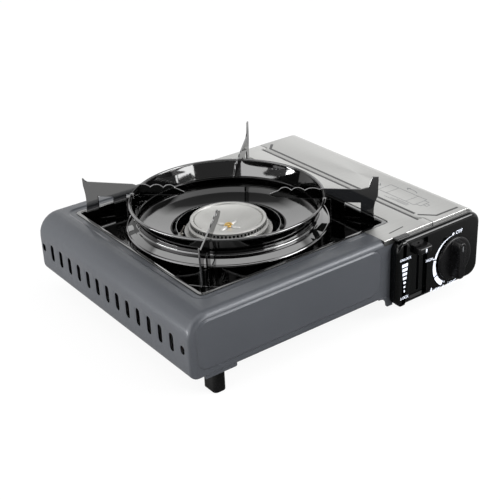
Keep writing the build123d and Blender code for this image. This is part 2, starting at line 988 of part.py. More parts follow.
with BuildPart() as piezo_igniter:
    igniter_x = outlet_x + regulator_width
    igniter_top = spindle_z - igniter_drop
    block(
        igniter_x,
        igniter_x + igniter_width,
        front + igniter_setback,
        front + igniter_setback + igniter_length,
        igniter_top - igniter_height,
        igniter_top,
    )
    fillet(piezo_igniter.edges().filter_by(Axis.Y), 1.5)

with BuildPart() as ignition_lead:
    lead_z = plate_z + seat_gap + lead_radius
    lead_end_x = igniter_x + igniter_width / 2
    with BuildLine() as lead_route:
        FilletPolyline(
            ceramic_foot,
            (ceramic_foot[0], ceramic_foot[1], lead_z),
            (ceramic_foot[0], front + lead_y, lead_z),
            (lead_end_x, front + lead_y, lead_z),
            (lead_end_x, front + igniter_setback + igniter_length, lead_z),
            radius=lead_bend,
        )
    with BuildSketch(Plane(origin=lead_route.line @ 0, z_dir=lead_route.line % 0)):
        Circle(lead_radius)
    sweep(path=lead_route.line)

with BuildPart() as lead_clips:
    lead_top = lead_z + lead_radius
    clip_front = front + lead_y - lead_clip_width / 2
    clip_rear = front + lead_y + lead_clip_width / 2
    groove = lead_radius + seat_gap
    for clip_x in (*(left + place for place in lead_clip_places), bay_left - last_clip_inset):
        clip_end = clip_x + lead_clip_length
        block(clip_x, clip_end, clip_front, clip_rear, plate_z, lead_top + lead_clip_wall)
        block(
            clip_x,
            clip_end,
            front + lead_y - groove,
            front + lead_y + groove,
            plate_z,
            lead_top + seat_gap,
            mode=Mode.SUBTRACT,
        )

with BuildPart() as drip_tray:
    slope = 2 * wall_taper
    wall = 2 * enamel_sheet
    with BuildSketch(at_z(base + tray_floor_z)):
        tray_outline(tray_wall_width - slope, tray_wall_depth - slope, tray_corner)
    with BuildSketch(at_z(rim_z + enamel_sheet)):
        tray_outline(tray_wall_width, tray_wall_depth, tray_corner)
    loft()
    inner_corner = tray_corner - enamel_sheet
    with BuildSketch(at_z(base + tray_floor_z + enamel_sheet)):
        tray_outline(tray_wall_width - slope - wall, tray_wall_depth - slope - wall, inner_corner)
    with BuildSketch(at_z(rim_z + enamel_sheet)):
        tray_outline(tray_wall_width - wall, tray_wall_depth - wall, inner_corner)
    loft(mode=Mode.SUBTRACT)
    # flat rim that lies on the ledge
    with BuildSketch(at_z(rim_z)):
        tray_outline(tray_width, tray_depth, tray_corner)
        tray_outline(
            tray_wall_width - enamel_sheet,
            tray_wall_depth - enamel_sheet,
            tray_corner,
            mode=Mode.SUBTRACT,
        )
    extrude(amount=enamel_sheet)
    # raised platform and bowl around the burner
    with BuildSketch(at_z(base + tray_floor_z - 1)):
        with Locations((burner_x, burner_y)):
            Circle(platform_radius)
    extrude(amount=enamel_sheet + 2, mode=Mode.SUBTRACT)
    with BuildSketch(radial(0)):
        with BuildLine():
            FilletPolyline(
                (platform_radius, tray_floor_z),
                (platform_radius, platform_z),
                (ring_neck_radius, platform_z),
                (bowl_radius, bowl_floor_z),
                (hole_radius + platform_bend, bowl_floor_z - bowl_fall),
                (hole_radius + enamel_sheet / 2, bowl_floor_z + hole_lip),
                radius=[platform_bend, platform_bend, platform_bend, 2.0],
            )
        trace(line_width=enamel_sheet)
    revolve(axis=burner_axis)

with BuildPart() as windshield_ring:
    ring_foot_z = platform_z + enamel_sheet
    with BuildSketch(radial(0)):
        with BuildLine():
            FilletPolyline(
                (ring_neck_radius + ring_foot_width / 2, ring_foot_z),
                (ring_neck_radius - 0.8, ring_foot_z),
                (ring_neck_radius, ring_foot_z + ring_foot_rise),
                (ring_rim_radius - ring_bead, ring_rim_z),
                radius=[2.0, ring_foot_rise],
            )
        trace(line_width=enamel_sheet)
        with Locations((ring_rim_radius, ring_rim_z)):
            Circle(ring_bead)
    revolve(axis=burner_axis)


def pan_support(angle, prong):
    """Pressed pan support: two legs on the tray floor and a stepped arm over the ring.

    The arm ends outside in a raised prong, or in a low tip.
    """
    leg_in = platform_radius + enamel_sheet / 2 + tray_gap
    window_in = leg_in + support_leg_width
    foot_out = hypot(tray_wall_width, tray_wall_width) / 2 - support_corner_gap
    foot_in = foot_out - support_foot_width
    floor_z = tray_floor_z + enamel_sheet
    window_top = arm_underside_z - window_drop
    rim_in = ring_rim_radius - ring_bead - support_gap
    rim_out = ring_rim_radius + ring_bead + support_gap
    rim_over = arm_underside_z + support_gap + 1.0

    def inward(reach, rise):
        """Point inside the rim of the ring, above the underside of the arm."""
        return (rim_in - reach, arm_underside_z + rise)

    def outward(reach, rise):
        """Point outside the outer foot, above the underside of the arm."""
        return (foot_out + reach, arm_underside_z + rise)

    if prong:
        outer_end = [
            outward(-12.4, 11.4),
            outward(-5.5, 13.8),
            outward(-1.8, prong_height),
            outward(4.2, prong_height),
            outward(3.8, 4.5),
        ]
    else:
        outer_end = [
            outward(-2.9, 12.8),
            outward(-0.4, 14.4),
            outward(0.8, tip_height),
            outward(2.2, tip_height),
            outward(2.0, 8.2),
        ]
    with BuildPart() as support:
        with BuildSketch(radial(angle)):
            with BuildLine():
                # step over the rim of the ring, and the underside of the arm
                Polyline(
                    (leg_in, arm_underside_z),
                    (rim_out, arm_underside_z),
                    (rim_out, rim_over),
                    (rim_in, rim_over),
                    inward(0, 0),
                    inward(45.6, 0.6),
                    inward(51.6, 2.6),
                    inward(51.1, 4.6),
                    inward(42.6, 8.2),
                )
                # three crests that carry the pan
                ThreePointArc(inward(42.6, 8.2), inward(36.6, arm_crest), inward(30.1, 8.8))
                ThreePointArc(inward(30.1, 8.8), inward(23.6, arm_crest), inward(17.1, 9.0))
                ThreePointArc(inward(17.1, 9.0), inward(9.6, arm_crest), inward(2.6, 10.2))
                Polyline(inward(2.6, 10.2), inward(-0.4, 11.4), *outer_end)
                Spline(outer_end[-1], outward(0.3, -7.8), outward(1.6, -21.8))
                # two legs with a window between them
                Polyline(
                    outward(1.6, -21.8),
                    (foot_out, floor_z),
                    (foot_in, floor_z),
                    (foot_in, window_top),
                    (window_in, window_top),
                    (window_in, floor_z),
                    (leg_in, floor_z),
                    (leg_in, arm_underside_z),
                )
            make_face()
        extrude(amount=support_sheet / 2, both=True)
    return support


pan_support_front_right = pan_support(-45, prong=True)
pan_support_rear_right = pan_support(45, prong=True)
pan_support_front_left = pan_support(-135, prong=False)
pan_support_rear_left = pan_support(135, prong=False)

with BuildPart() as control_panel:
    panel_middle = ((panel_left + right) / 2, base - panel_below + panel_height / 2)
    face_y = front - panel_proud
    with BuildSketch(at_y(front)):
        with Locations(panel_middle):
            RectangleRounded(panel_width, panel_height, panel_corner)
    extrude(amount=panel_proud)
    with BuildSketch(at_y(face_y)):
        with Locations(panel_middle):
            RectangleRounded(panel_width, panel_height, panel_corner)
        with Locations((panel_left + block_width + panel_width / 2, panel_middle[1])):
            Rectangle(panel_width, panel_height, mode=Mode.SUBTRACT)
    extrude(amount=block_rise)
    fillet(control_panel.faces().sort_by(Axis.Y)[0].edges(), panel_edge - 0.2)
    # hollow back
    with BuildSketch(at_y(front)):
        with Locations(panel_middle):
            RectangleRounded(
                panel_width - 2 * panel_wall,
                panel_height - 2 * panel_wall,
                panel_corner - panel_wall,
            )
    extrude(amount=panel_proud - panel_wall, mode=Mode.SUBTRACT)
    # lever channel, with its floor set back from the face
    channel_bottom = base - panel_below + channel_foot
    channel_top = base + lever_z + channel_head
    block(
        channel_left - panel_wall,
        channel_left + channel_width + panel_wall,
        face_y + 1,
        face_y + channel_depth + panel_wall,
        channel_bottom - 2,
        channel_top + 2,
    )
    block(
        channel_left,
        channel_left + channel_width,
        face_y - 1,
        face_y + channel_depth,
        channel_bottom,
        channel_top,
        mode=Mode.SUBTRACT,
    )
    block(
        lever_x - stem_width / 2 - seat_gap,
        lever_x + stem_width / 2 + seat_gap,
        face_y,
        front,
        base + lever_z - lever_travel - stem_height / 2 - 1,
        base + lever_z + stem_height / 2 + 1,
        mode=Mode.SUBTRACT,
    )
    for x, z in panel_screws_at:
        rod((x, front, z), (x, face_y + 1, z), panel_boss_radius)
        rod(
            (x, front, z),
            (x, front - panel_screw_depth, z),
            panel_screw_radius + running_gap,
            Mode.SUBTRACT,
        )
    rod(
        (spindle_x, front, spindle_z),
        (spindle_x, face_y - 1, spindle_z),
        knob_neck_radius + part_gap,
        Mode.SUBTRACT,
    )
    # room for the front skirt of the lid
    block(
        lid_left - 1,
        right + 1,
        front - part_gap,
        front + 1,
        top - lid_skirt - part_gap,
        top,
        mode=Mode.SUBTRACT,
    )

with BuildPart() as panel_screws:
    for x, z in panel_screws_at:
        rod((x, front - panel_screw_depth, z), (x, front + sheet, z), panel_screw_radius)
        rod((x, front + sheet, z), (x, front + 3 * sheet, z), panel_screw_head)

with BuildPart() as control_knob:
    disc_back = face_y - part_gap
    disc_front = disc_back - knob_disc
    neck_end = disc_back + knob_neck
    knob_front = face_y - knob_reach
    rod((spindle_x, disc_back, spindle_z), (spindle_x, disc_front, spindle_z), knob_radius)
    chamfer(control_knob.edges().group_by(Axis.Y)[0], knob_bevel)
    rod((spindle_x, disc_back, spindle_z), (spindle_x, neck_end, spindle_z), knob_neck_radius)
    with BuildSketch(at_y(disc_front)):
        with Locations((spindle_x, spindle_z)):
            Circle(grip_length / 2)
            Rectangle(grip_width, grip_length, mode=Mode.INTERSECT)
    extrude(amount=disc_front - knob_front, taper=4)
    rod(
        (spindle_x, neck_end, spindle_z),
        (spindle_x, knob_front + spindle_cover, spindle_z),
        spindle_radius + running_gap,
        Mode.SUBTRACT,
    )

with BuildPart() as valve_spindle:
    rod(
        (spindle_x, knob_front + spindle_cover, spindle_z),
        (spindle_x, front + spindle_depth, spindle_z),
        spindle_radius,
    )

with BuildPart() as lock_lever:
    lever_back = face_y + channel_depth - part_gap
    block(
        lever_x - lever_width / 2,
        lever_x + lever_width / 2,
        front - lever_reach,
        lever_back,
        base + lever_z - lever_height / 2,
        base + lever_z + lever_height / 2,
    )
    fillet(lock_lever.edges().group_by(Axis.Y)[0], 1.5)
    block(
        lever_x - stem_width / 2,
        lever_x + stem_width / 2,
        lever_back,
        front + sheet + seat_gap,
        base + lever_z - stem_height / 2,
        base + lever_z + stem_height / 2,
    )

with BuildPart() as lever_slider:
    slider_y = front + sheet + seat_gap
    slider_x = lever_x + slider_right
    pin_y = front + cam_y
    block(
        lever_x - slider_left,
        slider_x,
        slider_y,
        slider_y + slider_sheet,
        base + lever_z - slider_below,
        base + lever_z + slider_above,
    )
    block(
        slider_x - slider_sheet,
        slider_x,
        slider_y,
        pin_y + slider_arm_reach,
        base + lever_z - slider_arm_half,
        base + lever_z + slider_arm_half,
    )
    rod(
        (slider_x, pin_y, base + lever_z),
        (link_right + 1, pin_y, base + lever_z),
        cam_pin_radius,
    )

with BuildPart() as pusher_link:
    link_floor = low + 2 * sheet + link_lift
    link_rear = front + pusher_y
    cam_plate_front = pin_y - cam_front
    cam_plate_rear = pin_y + pusher_travel + cam_rear
    cam_plate_foot = base + lever_z - lever_travel - cam_pin_radius - cam_below
    block(
        link_left,
        link_right,
        cam_plate_front,
        cam_plate_rear,
        cam_plate_foot,
        base + lever_z + cam_above,
    )
    block(link_left, link_right, cam_plate_rear - cam_rear, link_rear, link_floor, low + link_bar_top)
    slot_length = hypot(pusher_travel, lever_travel)
    with BuildSketch(at_x(link_left - 1)):
        with Locations((pin_y + pusher_travel / 2, base + lever_z - lever_travel / 2)):
            SlotCenterToCenter(
                slot_length,
                2 * (cam_pin_radius + seat_gap),
                rotation=degrees(atan2(-lever_travel, pusher_travel)),
            )
    extrude(amount=link_sheet + 2, mode=Mode.SUBTRACT)

with BuildPart() as pusher_plate:
    block(
        link_left,
        cartridge_x + pusher_right,
        link_rear,
        link_rear + pusher_sheet,
        link_floor,
        base + pusher_top,
    )
    rod(
        (cartridge_x, link_rear, cartridge_z),
        (cartridge_x, link_rear - pusher_sheet, cartridge_z),
        pusher_pad_radius,
    )


def foot(x, middle_y, underside):
    """Moulded foot with a round outer face and a deep recess for its screw."""
    with BuildPart() as moulding:
        with BuildSketch(at_z(0)):
            with Locations((x, middle_y)):
                Rectangle(foot_width, foot_depth)
        extrude(amount=underside)
        uprights = moulding.edges().filter_by(Axis.Z).sort_by(Axis.Y)
        fillet(uprights[:2] if middle_y < 0 else uprights[2:], foot_round)
        fillet(moulding.faces().sort_by(Axis.Z)[0].edges(), 1.0)
        recess_top = underside - foot_floor
        rod((x, middle_y, -1), (x, middle_y, recess_top), screw_head_radius + part_gap, Mode.SUBTRACT)
        rod((x, middle_y, 0), (x, middle_y, underside + 1), screw_radius + running_gap, Mode.SUBTRACT)
    return moulding


foot_mouldings = {name: foot(*place) for name, place in feet_places.items()}

with BuildPart() as foot_screws:
    for foot_x, screw_y, underside in feet_places.values():
        rod(
            (foot_x, screw_y, underside - foot_floor - screw_head),
            (foot_x, screw_y, underside - foot_floor),
            screw_head_radius,
        )
        rod(
            (foot_x, screw_y, underside - foot_floor),
            (foot_x, screw_y, underside + 4 * sheet),
            screw_radius,
        )

pieces = {
    "body_shell": body_shell,
    "centre_plate": centre_plate,
    "cartridge_lid": cartridge_lid,
    "hinge_pins": hinge_pins,
    "bottom_plate": bottom_plate,
    "bay_partition": bay_partition,
    "cartridge_cradle": cartridge_cradle,
    "seat_plate": seat_plate,
    "regulator_body": regulator_body,
    "regulator_cap": regulator_cap,
    "pipe_nut": pipe_nut,
    "gas_pipe": gas_pipe,
    "gas_jet": gas_jet,
    "jet_bracket": jet_bracket,
    "mixing_tube": mixing_tube,
    "burner_base": burner_base,
    "burner_head": burner_head,
    "burner_screw": burner_screw,
    "burner_bracket": burner_bracket,
    "burner_bolts": burner_bolts,
    "electrode_clip": electrode_clip,
    "spark_electrode": spark_electrode,
    "piezo_igniter": piezo_igniter,
    "ignition_lead": ignition_lead,
    "lead_clips": lead_clips,
    "drip_tray": drip_tray,
    "windshield_ring": windshield_ring,
    "pan_support_front_right": pan_support_front_right,
    "pan_support_rear_right": pan_support_rear_right,
    "pan_support_front_left": pan_support_front_left,
    "pan_support_rear_left": pan_support_rear_left,
    "control_panel": control_panel,
    "panel_screws": panel_screws,
    "control_knob": control_knob,
    "valve_spindle": valve_spindle,
    "lock_lever": lock_lever,
    "lever_slider": lever_slider,
    "pusher_link": pusher_link,
    "pusher_plate": pusher_plate,
    "foot_screws": foot_screws,
    **foot_mouldings,
}

os.makedirs("parts", exist_ok=True)
for name, piece in pieces.items():
    piece.part.label = name
    export_step(piece.part, f"parts/{name}.step")
    print(name, round(piece.part.volume / 1000, 2), "cm3")
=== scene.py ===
import json
from math import atan2, cos, pi, radians, sin, sqrt

import bmesh
import bpy
from mathutils import Matrix, Vector


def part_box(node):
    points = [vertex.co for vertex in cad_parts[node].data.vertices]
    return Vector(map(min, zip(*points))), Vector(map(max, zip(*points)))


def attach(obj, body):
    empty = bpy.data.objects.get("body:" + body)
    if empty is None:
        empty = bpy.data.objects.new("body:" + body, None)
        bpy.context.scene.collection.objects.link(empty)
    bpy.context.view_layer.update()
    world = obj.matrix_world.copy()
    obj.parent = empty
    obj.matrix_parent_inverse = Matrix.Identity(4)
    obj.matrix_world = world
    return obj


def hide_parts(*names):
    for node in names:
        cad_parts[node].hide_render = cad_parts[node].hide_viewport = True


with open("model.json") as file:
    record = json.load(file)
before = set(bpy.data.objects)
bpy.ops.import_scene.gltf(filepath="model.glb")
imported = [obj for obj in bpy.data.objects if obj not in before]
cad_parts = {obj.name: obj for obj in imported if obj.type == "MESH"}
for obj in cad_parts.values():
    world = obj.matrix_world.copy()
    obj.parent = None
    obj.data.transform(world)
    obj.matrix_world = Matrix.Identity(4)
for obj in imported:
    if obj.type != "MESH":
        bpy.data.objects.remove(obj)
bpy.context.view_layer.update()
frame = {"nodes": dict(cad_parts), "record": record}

# Shapes are worked out in millimetres in the CAD frame and turned into metres as each piece is finished.
MM = 0.001
CIRCLE = 96  # steps round a large circle
SMALL_CIRCLE = 32

# ---------------------------------------------------------------- places taken from the frame


def span(node):
    """Lowest and highest corner of a CAD node, in millimetres."""
    near_corner, far_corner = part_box(node)
    return Vector(near_corner) / MM, Vector(far_corner) / MM


shell_low, shell_high = span("body_shell")
plate_low, plate_high = span("centre_plate")
panel_low, panel_high = span("control_panel")
tray_low, tray_high = span("drip_tray")
ring_high = span("windshield_ring")[1]
head_low, head_high = span("burner_head")
knob_low, knob_high = span("control_knob")
lever_low, lever_high = span("lock_lever")

left, right = shell_low.x, shell_high.x
front, rear = plate_low.y, plate_high.y
base = span("foot_front_left")[1].z
low, top = shell_low.z, shell_high.z
burner = (head_low + head_high) / 2
dial = (knob_low + knob_high) / 2
lever_mid = (lever_low + lever_high) / 2
plate_left = plate_low.x
joints = {joint["name"]: joint for joint in frame["record"]["behaviour"]["joints"]}
hinge = Vector(joints["lid_hinge"]["pos_m"]) / MM
lid_left = hinge.x - 2.2
sheet = 1.0  # pressed steel

# ---------------------------------------------------------------- mesh tools

LEVEL = Matrix.Identity(4)
# drawn as (across, up), laid in an upright plane that faces the front or the left
FACING_FRONT = Matrix(((1, 0, 0, 0), (0, 0, -1, 0), (0, 1, 0, 0), (0, 0, 0, 1)))
FACING_LEFT = Matrix(((0, 0, 1, 0), (1, 0, 0, 0), (0, 1, 0, 0), (0, 0, 0, 1)))


def start():
    return bmesh.new()


def level(z):
    return Matrix.Translation((0, 0, z))


def upright(y):
    return Matrix.Translation((0, y, 0)) @ FACING_FRONT


def sideways(x):
    return Matrix.Translation((x, 0, 0)) @ FACING_LEFT


def bevelled(bm, geometry, affect, radius, segments):
    """Rounds vertices of a flat outline or a wire (VERTICES), or edges of a solid (EDGES)."""
    bmesh.ops.bevel(
        bm,
        geom=geometry,
        affect=affect,
        offset=radius,
        offset_type="OFFSET",
        segments=segments,
        profile=0.5,
        clamp_overlap=affect == "EDGES",
        material=-1,
    )


def outline(bm, points, radii=0.0, segments=6, place=LEVEL):
    """Flat face with rounded corners, drawn as (u, v) points with one radius or one each."""
    if not isinstance(radii, (tuple, list)):
        radii = (radii,) * len(points)
    before = set(bm.faces)
    verts = [bm.verts.new(place @ Vector((u, v, 0))) for u, v in points]
    bm.faces.new(verts)
    for radius in sorted(set(radii) - {0.0}):
        bevelled(bm, [v for v, r in zip(verts, radii) if r == radius], "VERTICES", radius, segments)
    return next(face for face in bm.faces if face not in before)


def box_outline(bm, u0, u1, v0, v1, radius, segments=6, place=LEVEL):
    """Rectangle with rounded corners, as a flat face."""
    return outline(bm, ((u0, v0), (u1, v0), (u1, v1), (u0, v1)), radius, segments, place)


def disc_outline(bm, centre, radius, steps=SMALL_CIRCLE, place=LEVEL):
    """Round flat face."""
    matrix = place @ Matrix.Translation((centre[0], centre[1], 0))
    made = bmesh.ops.create_circle(bm, cap_ends=True, radius=radius, segments=steps, matrix=matrix)
    return made["verts"][0].link_faces[0]


def open_up(bm, face):
    """Takes the face away and returns its edges."""
    edges = list(face.edges)
    bmesh.ops.delete(bm, geom=[face], context="FACES_ONLY")
    return edges


def fill_between(bm, edges):
    """Flat fill between one outer loop and the loops inside it."""
    return bmesh.ops.triangle_fill(bm, use_beauty=True, use_dissolve=False, edges=edges)["geom"]


def stack(bm, faces, cap_first=False, cap_last=False):
    """Bridges a row of outlines into a skin, and keeps the end outlines only as caps."""
    rings = []
    last = len(faces) - 1
    for index, face in enumerate(faces):
        capped = (index == 0 and cap_first) or (index == last and cap_last)
        rings.append(list(face.edges) if capped else open_up(bm, face))
    for near, far in zip(rings, rings[1:]):
        heights = {round(vert.co.z, 3) for edge in near + far for vert in edge.verts}
        if len(heights) == 1:
            fill_between(bm, near + far)
        else:
            bmesh.ops.bridge_loops(bm, edges=near + far)
    return rings


def wire(bm, points, radii=0.0, segments=5, place=LEVEL):
    """Open line of (u, v) points with rounded corners; returns its vertices and edges."""
    if not isinstance(radii, (tuple, list)):
        radii = (radii,) * (len(points) - 2)
    before = set(bm.verts)
    verts = [bm.verts.new(place @ Vector((u, v, 0))) for u, v in points]
    for pair in zip(verts, verts[1:]):
        bm.edges.new(pair)
    for vert, radius in zip(verts[1:-1], radii):
        if radius > 0:
            bevelled(bm, [vert], "VERTICES", radius, segments)
    verts = [vert for vert in bm.verts if vert not in before]
    return verts, list({edge for vert in verts for edge in vert.link_edges})


def spun(bm, geometry, centre, axis=(0, 0, 1), steps=CIRCLE):
    """Spins geometry fully round an axis through centre."""
    bmesh.ops.spin(
        bm, geom=geometry, cent=centre, axis=axis, angle=2 * pi, steps=steps, use_merge=True
    )


def turned(bm, points, centre, radii=0.0, steps=CIRCLE, segments=5):
    """Surface of revolution about the upright line through centre: (radius, z) points."""
    place = Matrix.Translation((centre[0], centre[1], 0)) @ FACING_FRONT
    verts, edges = wire(bm, points, radii, segments, place)
    spun(bm, verts + edges, (centre[0], centre[1], 0), steps=steps)


def block(bm, x0, x1, y0, y1, z0, z1, radius=0.0):
    """Box between two corners with rounded edges."""
    made = bmesh.ops.create_cube(bm, size=1.0)["verts"]
    bmesh.ops.scale(bm, vec=(x1 - x0, y1 - y0, z1 - z0), verts=made)
    bmesh.ops.translate(bm, vec=((x0 + x1) / 2, (y0 + y1) / 2, (z0 + z1) / 2), verts=made)
    if radius:
        bevelled(bm, list({edge for vert in made for edge in vert.link_edges}), "EDGES", radius, 3)


def score(bm, axis, place):
    """Cuts the mesh along a plane across an axis, and keeps both sides."""
    normal, spot = Vector((0, 0, 0)), Vector((0, 0, 0))
    normal[axis], spot[axis] = 1, place
    geometry = list(bm.verts) + list(bm.edges) + list(bm.faces)
    bmesh.ops.bisect_plane(bm, geom=geometry, dist=0.0001, plane_co=spot, plane_no=normal)


def drop_faces(bm, unwanted):
    """Deletes every face whose middle the test picks, with what hangs on it alone."""
    picked = [face for face in bm.faces if unwanted(face.calc_center_median())]
    bmesh.ops.delete(bm, geom=picked, context="FACES")


def top_face(bm, direction):
    """Largest flat face that looks in a direction."""
    facing = [face for face in bm.faces if face.normal.dot(direction) > 0.999]
    return max(facing, key=lambda face: face.calc_area())


def extruded(bm, face, move):
    """Pulls a flat face into a solid."""
    made = bmesh.ops.extrude_face_region(bm, geom=[face], use_keep_orig=True)["geom"]
    verts = [item for item in made if isinstance(item, bmesh.types.BMVert)]
    bmesh.ops.translate(bm, vec=move, verts=verts)
    return verts


def shown(name, data):
    """New object in the scene."""
    made = bpy.data.objects.new(name, data)
    bpy.context.scene.collection.objects.link(made)
    return made


def piece(name, bm, material, body, nodes=(), sharp=32, wall=0.0, soft_edge=0.0, recalc=True):
    """Finishes a mesh as one named piece that rides on a body and stands for CAD nodes."""
    bmesh.ops.remove_doubles(bm, verts=bm.verts, dist=0.0005)
    if recalc:
        bmesh.ops.recalc_face_normals(bm, faces=bm.faces)
    bmesh.ops.scale(bm, vec=(MM, MM, MM), verts=bm.verts)
    mesh = bpy.data.meshes.new(name)
    bm.to_mesh(mesh)
    bm.free()
    mesh.shade_smooth()
    mesh.set_sharp_from_angle(angle=radians(sharp))
    made = shown(name, mesh)
    made.data.materials.append(material)
    if wall:
        thick = made.modifiers.new("wall", "SOLIDIFY")
        thick.thickness = wall * MM
        thick.offset = -1
        thick.use_even_offset = False
    if soft_edge:
        edge = made.modifiers.new("soft_edge", "BEVEL")
        edge.width = soft_edge * MM
        edge.segments = 2
        edge.limit_method = "ANGLE"
        edge.angle_limit = radians(sharp)
    shading = made.modifiers.new("even_shading", "WEIGHTED_NORMAL")
    shading.keep_sharp = True
    shading.weight = 100
    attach(made, body)
    if nodes:
        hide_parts(*nodes)
    return made

# ---------------------------------------------------------------- finishes


def tone(red, green=None, blue=None):
    """Linear colour of a paint given in display values from 0 to 255."""
    values = (red, red if green is None else green, red if blue is None else blue)
    return [(v / 255) ** 2.2 for v in values] + [1.0]


class Finish:
    """A material in the making: the shader's sockets are set by name, and patterns are added by helpers."""

    def __init__(self, name, **sockets):
        self.material = bpy.data.materials.new(name)
        self.material.use_nodes = True
        self.nodes = self.material.node_tree.nodes
        self.links = self.material.node_tree.links
        self.shader = self.nodes["Principled BSDF"]
        self.place = self.add("ShaderNodeTexCoord").outputs["Object"]
        for label, value in sockets.items():
            self.shader.inputs[label.replace("_", " ")].default_value = value

    def add(self, kind, values=None, **settings):
        node = self.nodes.new(kind)
        for label, value in settings.items():
            setattr(node, label, value)
        for label, value in (values or {}).items():
            if isinstance(value, bpy.types.NodeSocket):
                self.links.new(value, node.inputs[label])
            else:
                node.inputs[label].default_value = value
        return node

    def moved(self, centre=(0, 0, 0), scale=(1, 1, 1)):
        """Object coordinates about a centre in millimetres, stretched."""
        shifted = self.add("ShaderNodeVectorMath", {0: self.place}, operation="SUBTRACT")
        shifted.inputs[1].default_value = [value * MM for value in centre]
        return self.add("ShaderNodeMapping", {"Vector": shifted.outputs[0], "Scale": scale}).outputs[0]

    def noise(self, scale, detail=2.0, roughness=0.5, vector=None):
        values = {"Vector": vector or self.place, "Scale": scale, "Detail": detail, "Roughness": roughness}
        return self.add("ShaderNodeTexNoise", values).outputs["Fac"]

    def ramp(self, factor, *stops):
        """Colour or grey ramp: (position, value) stops."""
        node = self.add("ShaderNodeValToRGB", {"Fac": factor})
        elements = node.color_ramp.elements
        while len(elements) < len(stops):
            elements.new(0.5)
        for element, (position, value) in zip(elements, stops):
            element.position = position
            element.color = value if isinstance(value, list) else [value, value, value, 1.0]
        return node.outputs["Color"]

    def reach(self, factor, low_value, high_value, low_in=0.3, high_in=0.7):
        """Factor stretched onto a range."""
        values = {0: factor, 1: low_in, 2: high_in, 3: low_value, 4: high_value}
        return self.add("ShaderNodeMapRange", values, clamp=True).outputs[0]

    def blend(self, factor, first, second):
        """Mix of two colours."""
        return self.add("ShaderNodeMix", {0: factor, 6: first, 7: second}, data_type="RGBA").outputs[2]

    def math(self, operation, first, second):
        return self.add("ShaderNodeMath", {0: first, 1: second}, operation=operation).outputs[0]

    def bump(self, height, strength, distance_mm, below=None):
        """Relief from a height; below is the relief under it."""
        values = {"Height": height, "Strength": strength, "Distance": distance_mm * MM}
        if below is not None:
            values["Normal"] = below
        return self.add("ShaderNodeBump", values).outputs[0]

    def set(self, label, socket):
        self.links.new(socket, self.shader.inputs[label])


def grey_paint():
    """Satin metallic grey stove paint with a fine flake and a faint orange peel."""
    sockets = {"Metallic": 0.2, "Roughness": 0.36, "Specular_IOR_Level": 0.2, "Coat_Weight": 0.15}
    made = Finish("grey_paint", Coat_Roughness=0.13, **sockets)
    cloud = made.noise(9, 3)
    flake = made.noise(2600, 1)
    base_tone = made.blend(made.reach(cloud, 0.0, 1.0), tone(63, 65, 69), tone(68, 70, 74))
    speck = made.blend(made.reach(flake, 0.0, 0.35, 0.52, 0.75), base_tone, tone(88, 92, 97))
    made.set("Base Color", speck)
    made.set("Roughness", made.reach(made.noise(160, 2), 0.33, 0.42))
    peel = made.bump(made.noise(420, 2), 0.10, 0.12)
    made.set("Normal", made.bump(flake, 0.05, 0.03, peel))
    return made.material


def brushed_steel():
    """Bright stainless sheet, brushed along one direction."""
    made = Finish("brushed_steel", Metallic=1.0, Roughness=0.38, Anisotropic=0.4)
    grain = made.moved(scale=(6, 900, 900))
    lines = made.noise(1.0, 5, 0.65, grain)
    cloud = made.noise(7, 3)
    fine = made.blend(made.reach(lines, 0.0, 1.0), tone(163, 163, 161), tone(177, 177, 175))
    made.set("Base Color", made.blend(made.reach(cloud, 0.0, 0.25), fine, tone(160, 160, 159)))
    made.set("Roughness", made.reach(lines, 0.34, 0.44))
    made.set("Normal", made.bump(lines, 0.06, 0.02))
    return made.material


def black_enamel():
    """Glossy black vitreous enamel: deep, with a slow ripple and tiny pits."""
    made = Finish("black_enamel", Roughness=0.05, Specular_IOR_Level=1.0, IOR=1.66)
    made.set("Base Color", made.ramp(made.noise(30, 3), (0.3, tone(4)), (0.7, tone(8))))
    made.set("Roughness", made.reach(made.noise(45, 3), 0.03, 0.07))
    ripple = made.bump(made.noise(38, 2), 0.10, 0.5)
    pits = made.reach(made.noise(1500, 1), 0.0, 1.0, 0.2, 0.34)
    made.set("Normal", made.bump(pits, 0.04, 0.04, ripple))
    return made.material


def burner_alloy():
    """Cast aluminium, machined in fine circles about the burner axis."""
    made = Finish("burner_alloy", Metallic=0.7, Roughness=0.5)
    about = made.moved((burner.x, burner.y, 0))
    flat = made.add("ShaderNodeVectorMath", {0: about, 1: (1, 1, 0)}, operation="MULTIPLY").outputs[0]
    length = made.add("ShaderNodeVectorMath", {0: flat}, operation="LENGTH").outputs["Value"]
    rings = made.add("ShaderNodeTexNoise", {"W": length, "Scale": 2600, "Detail": 3}, noise_dimensions="1D")
    turned_lines = rings.outputs["Fac"]
    shade = made.blend(made.reach(turned_lines, 0.0, 1.0), tone(164, 164, 162), tone(176, 175, 172))
    made.set("Base Color", shade)
    made.set("Roughness", made.reach(made.noise(60, 3), 0.44, 0.56))
    grit = made.bump(made.noise(900, 2), 0.06, 0.05)
    made.set("Normal", made.bump(turned_lines, 0.05, 0.02, grit))
    return made.material


def metal(name, first, second, rough=(0.25, 0.4)):
    """Plain cast or drawn metal with mottling and a fine grain."""
    made = Finish(name, Metallic=1.0, Roughness=sum(rough) / 2)
    made.set("Base Color", made.blend(made.reach(made.noise(40, 4), 0.0, 1.0), first, second))
    made.set("Roughness", made.reach(made.noise(220, 3), *rough))
    made.set("Normal", made.bump(made.noise(660, 2), 0.08, 0.05))
    return made.material


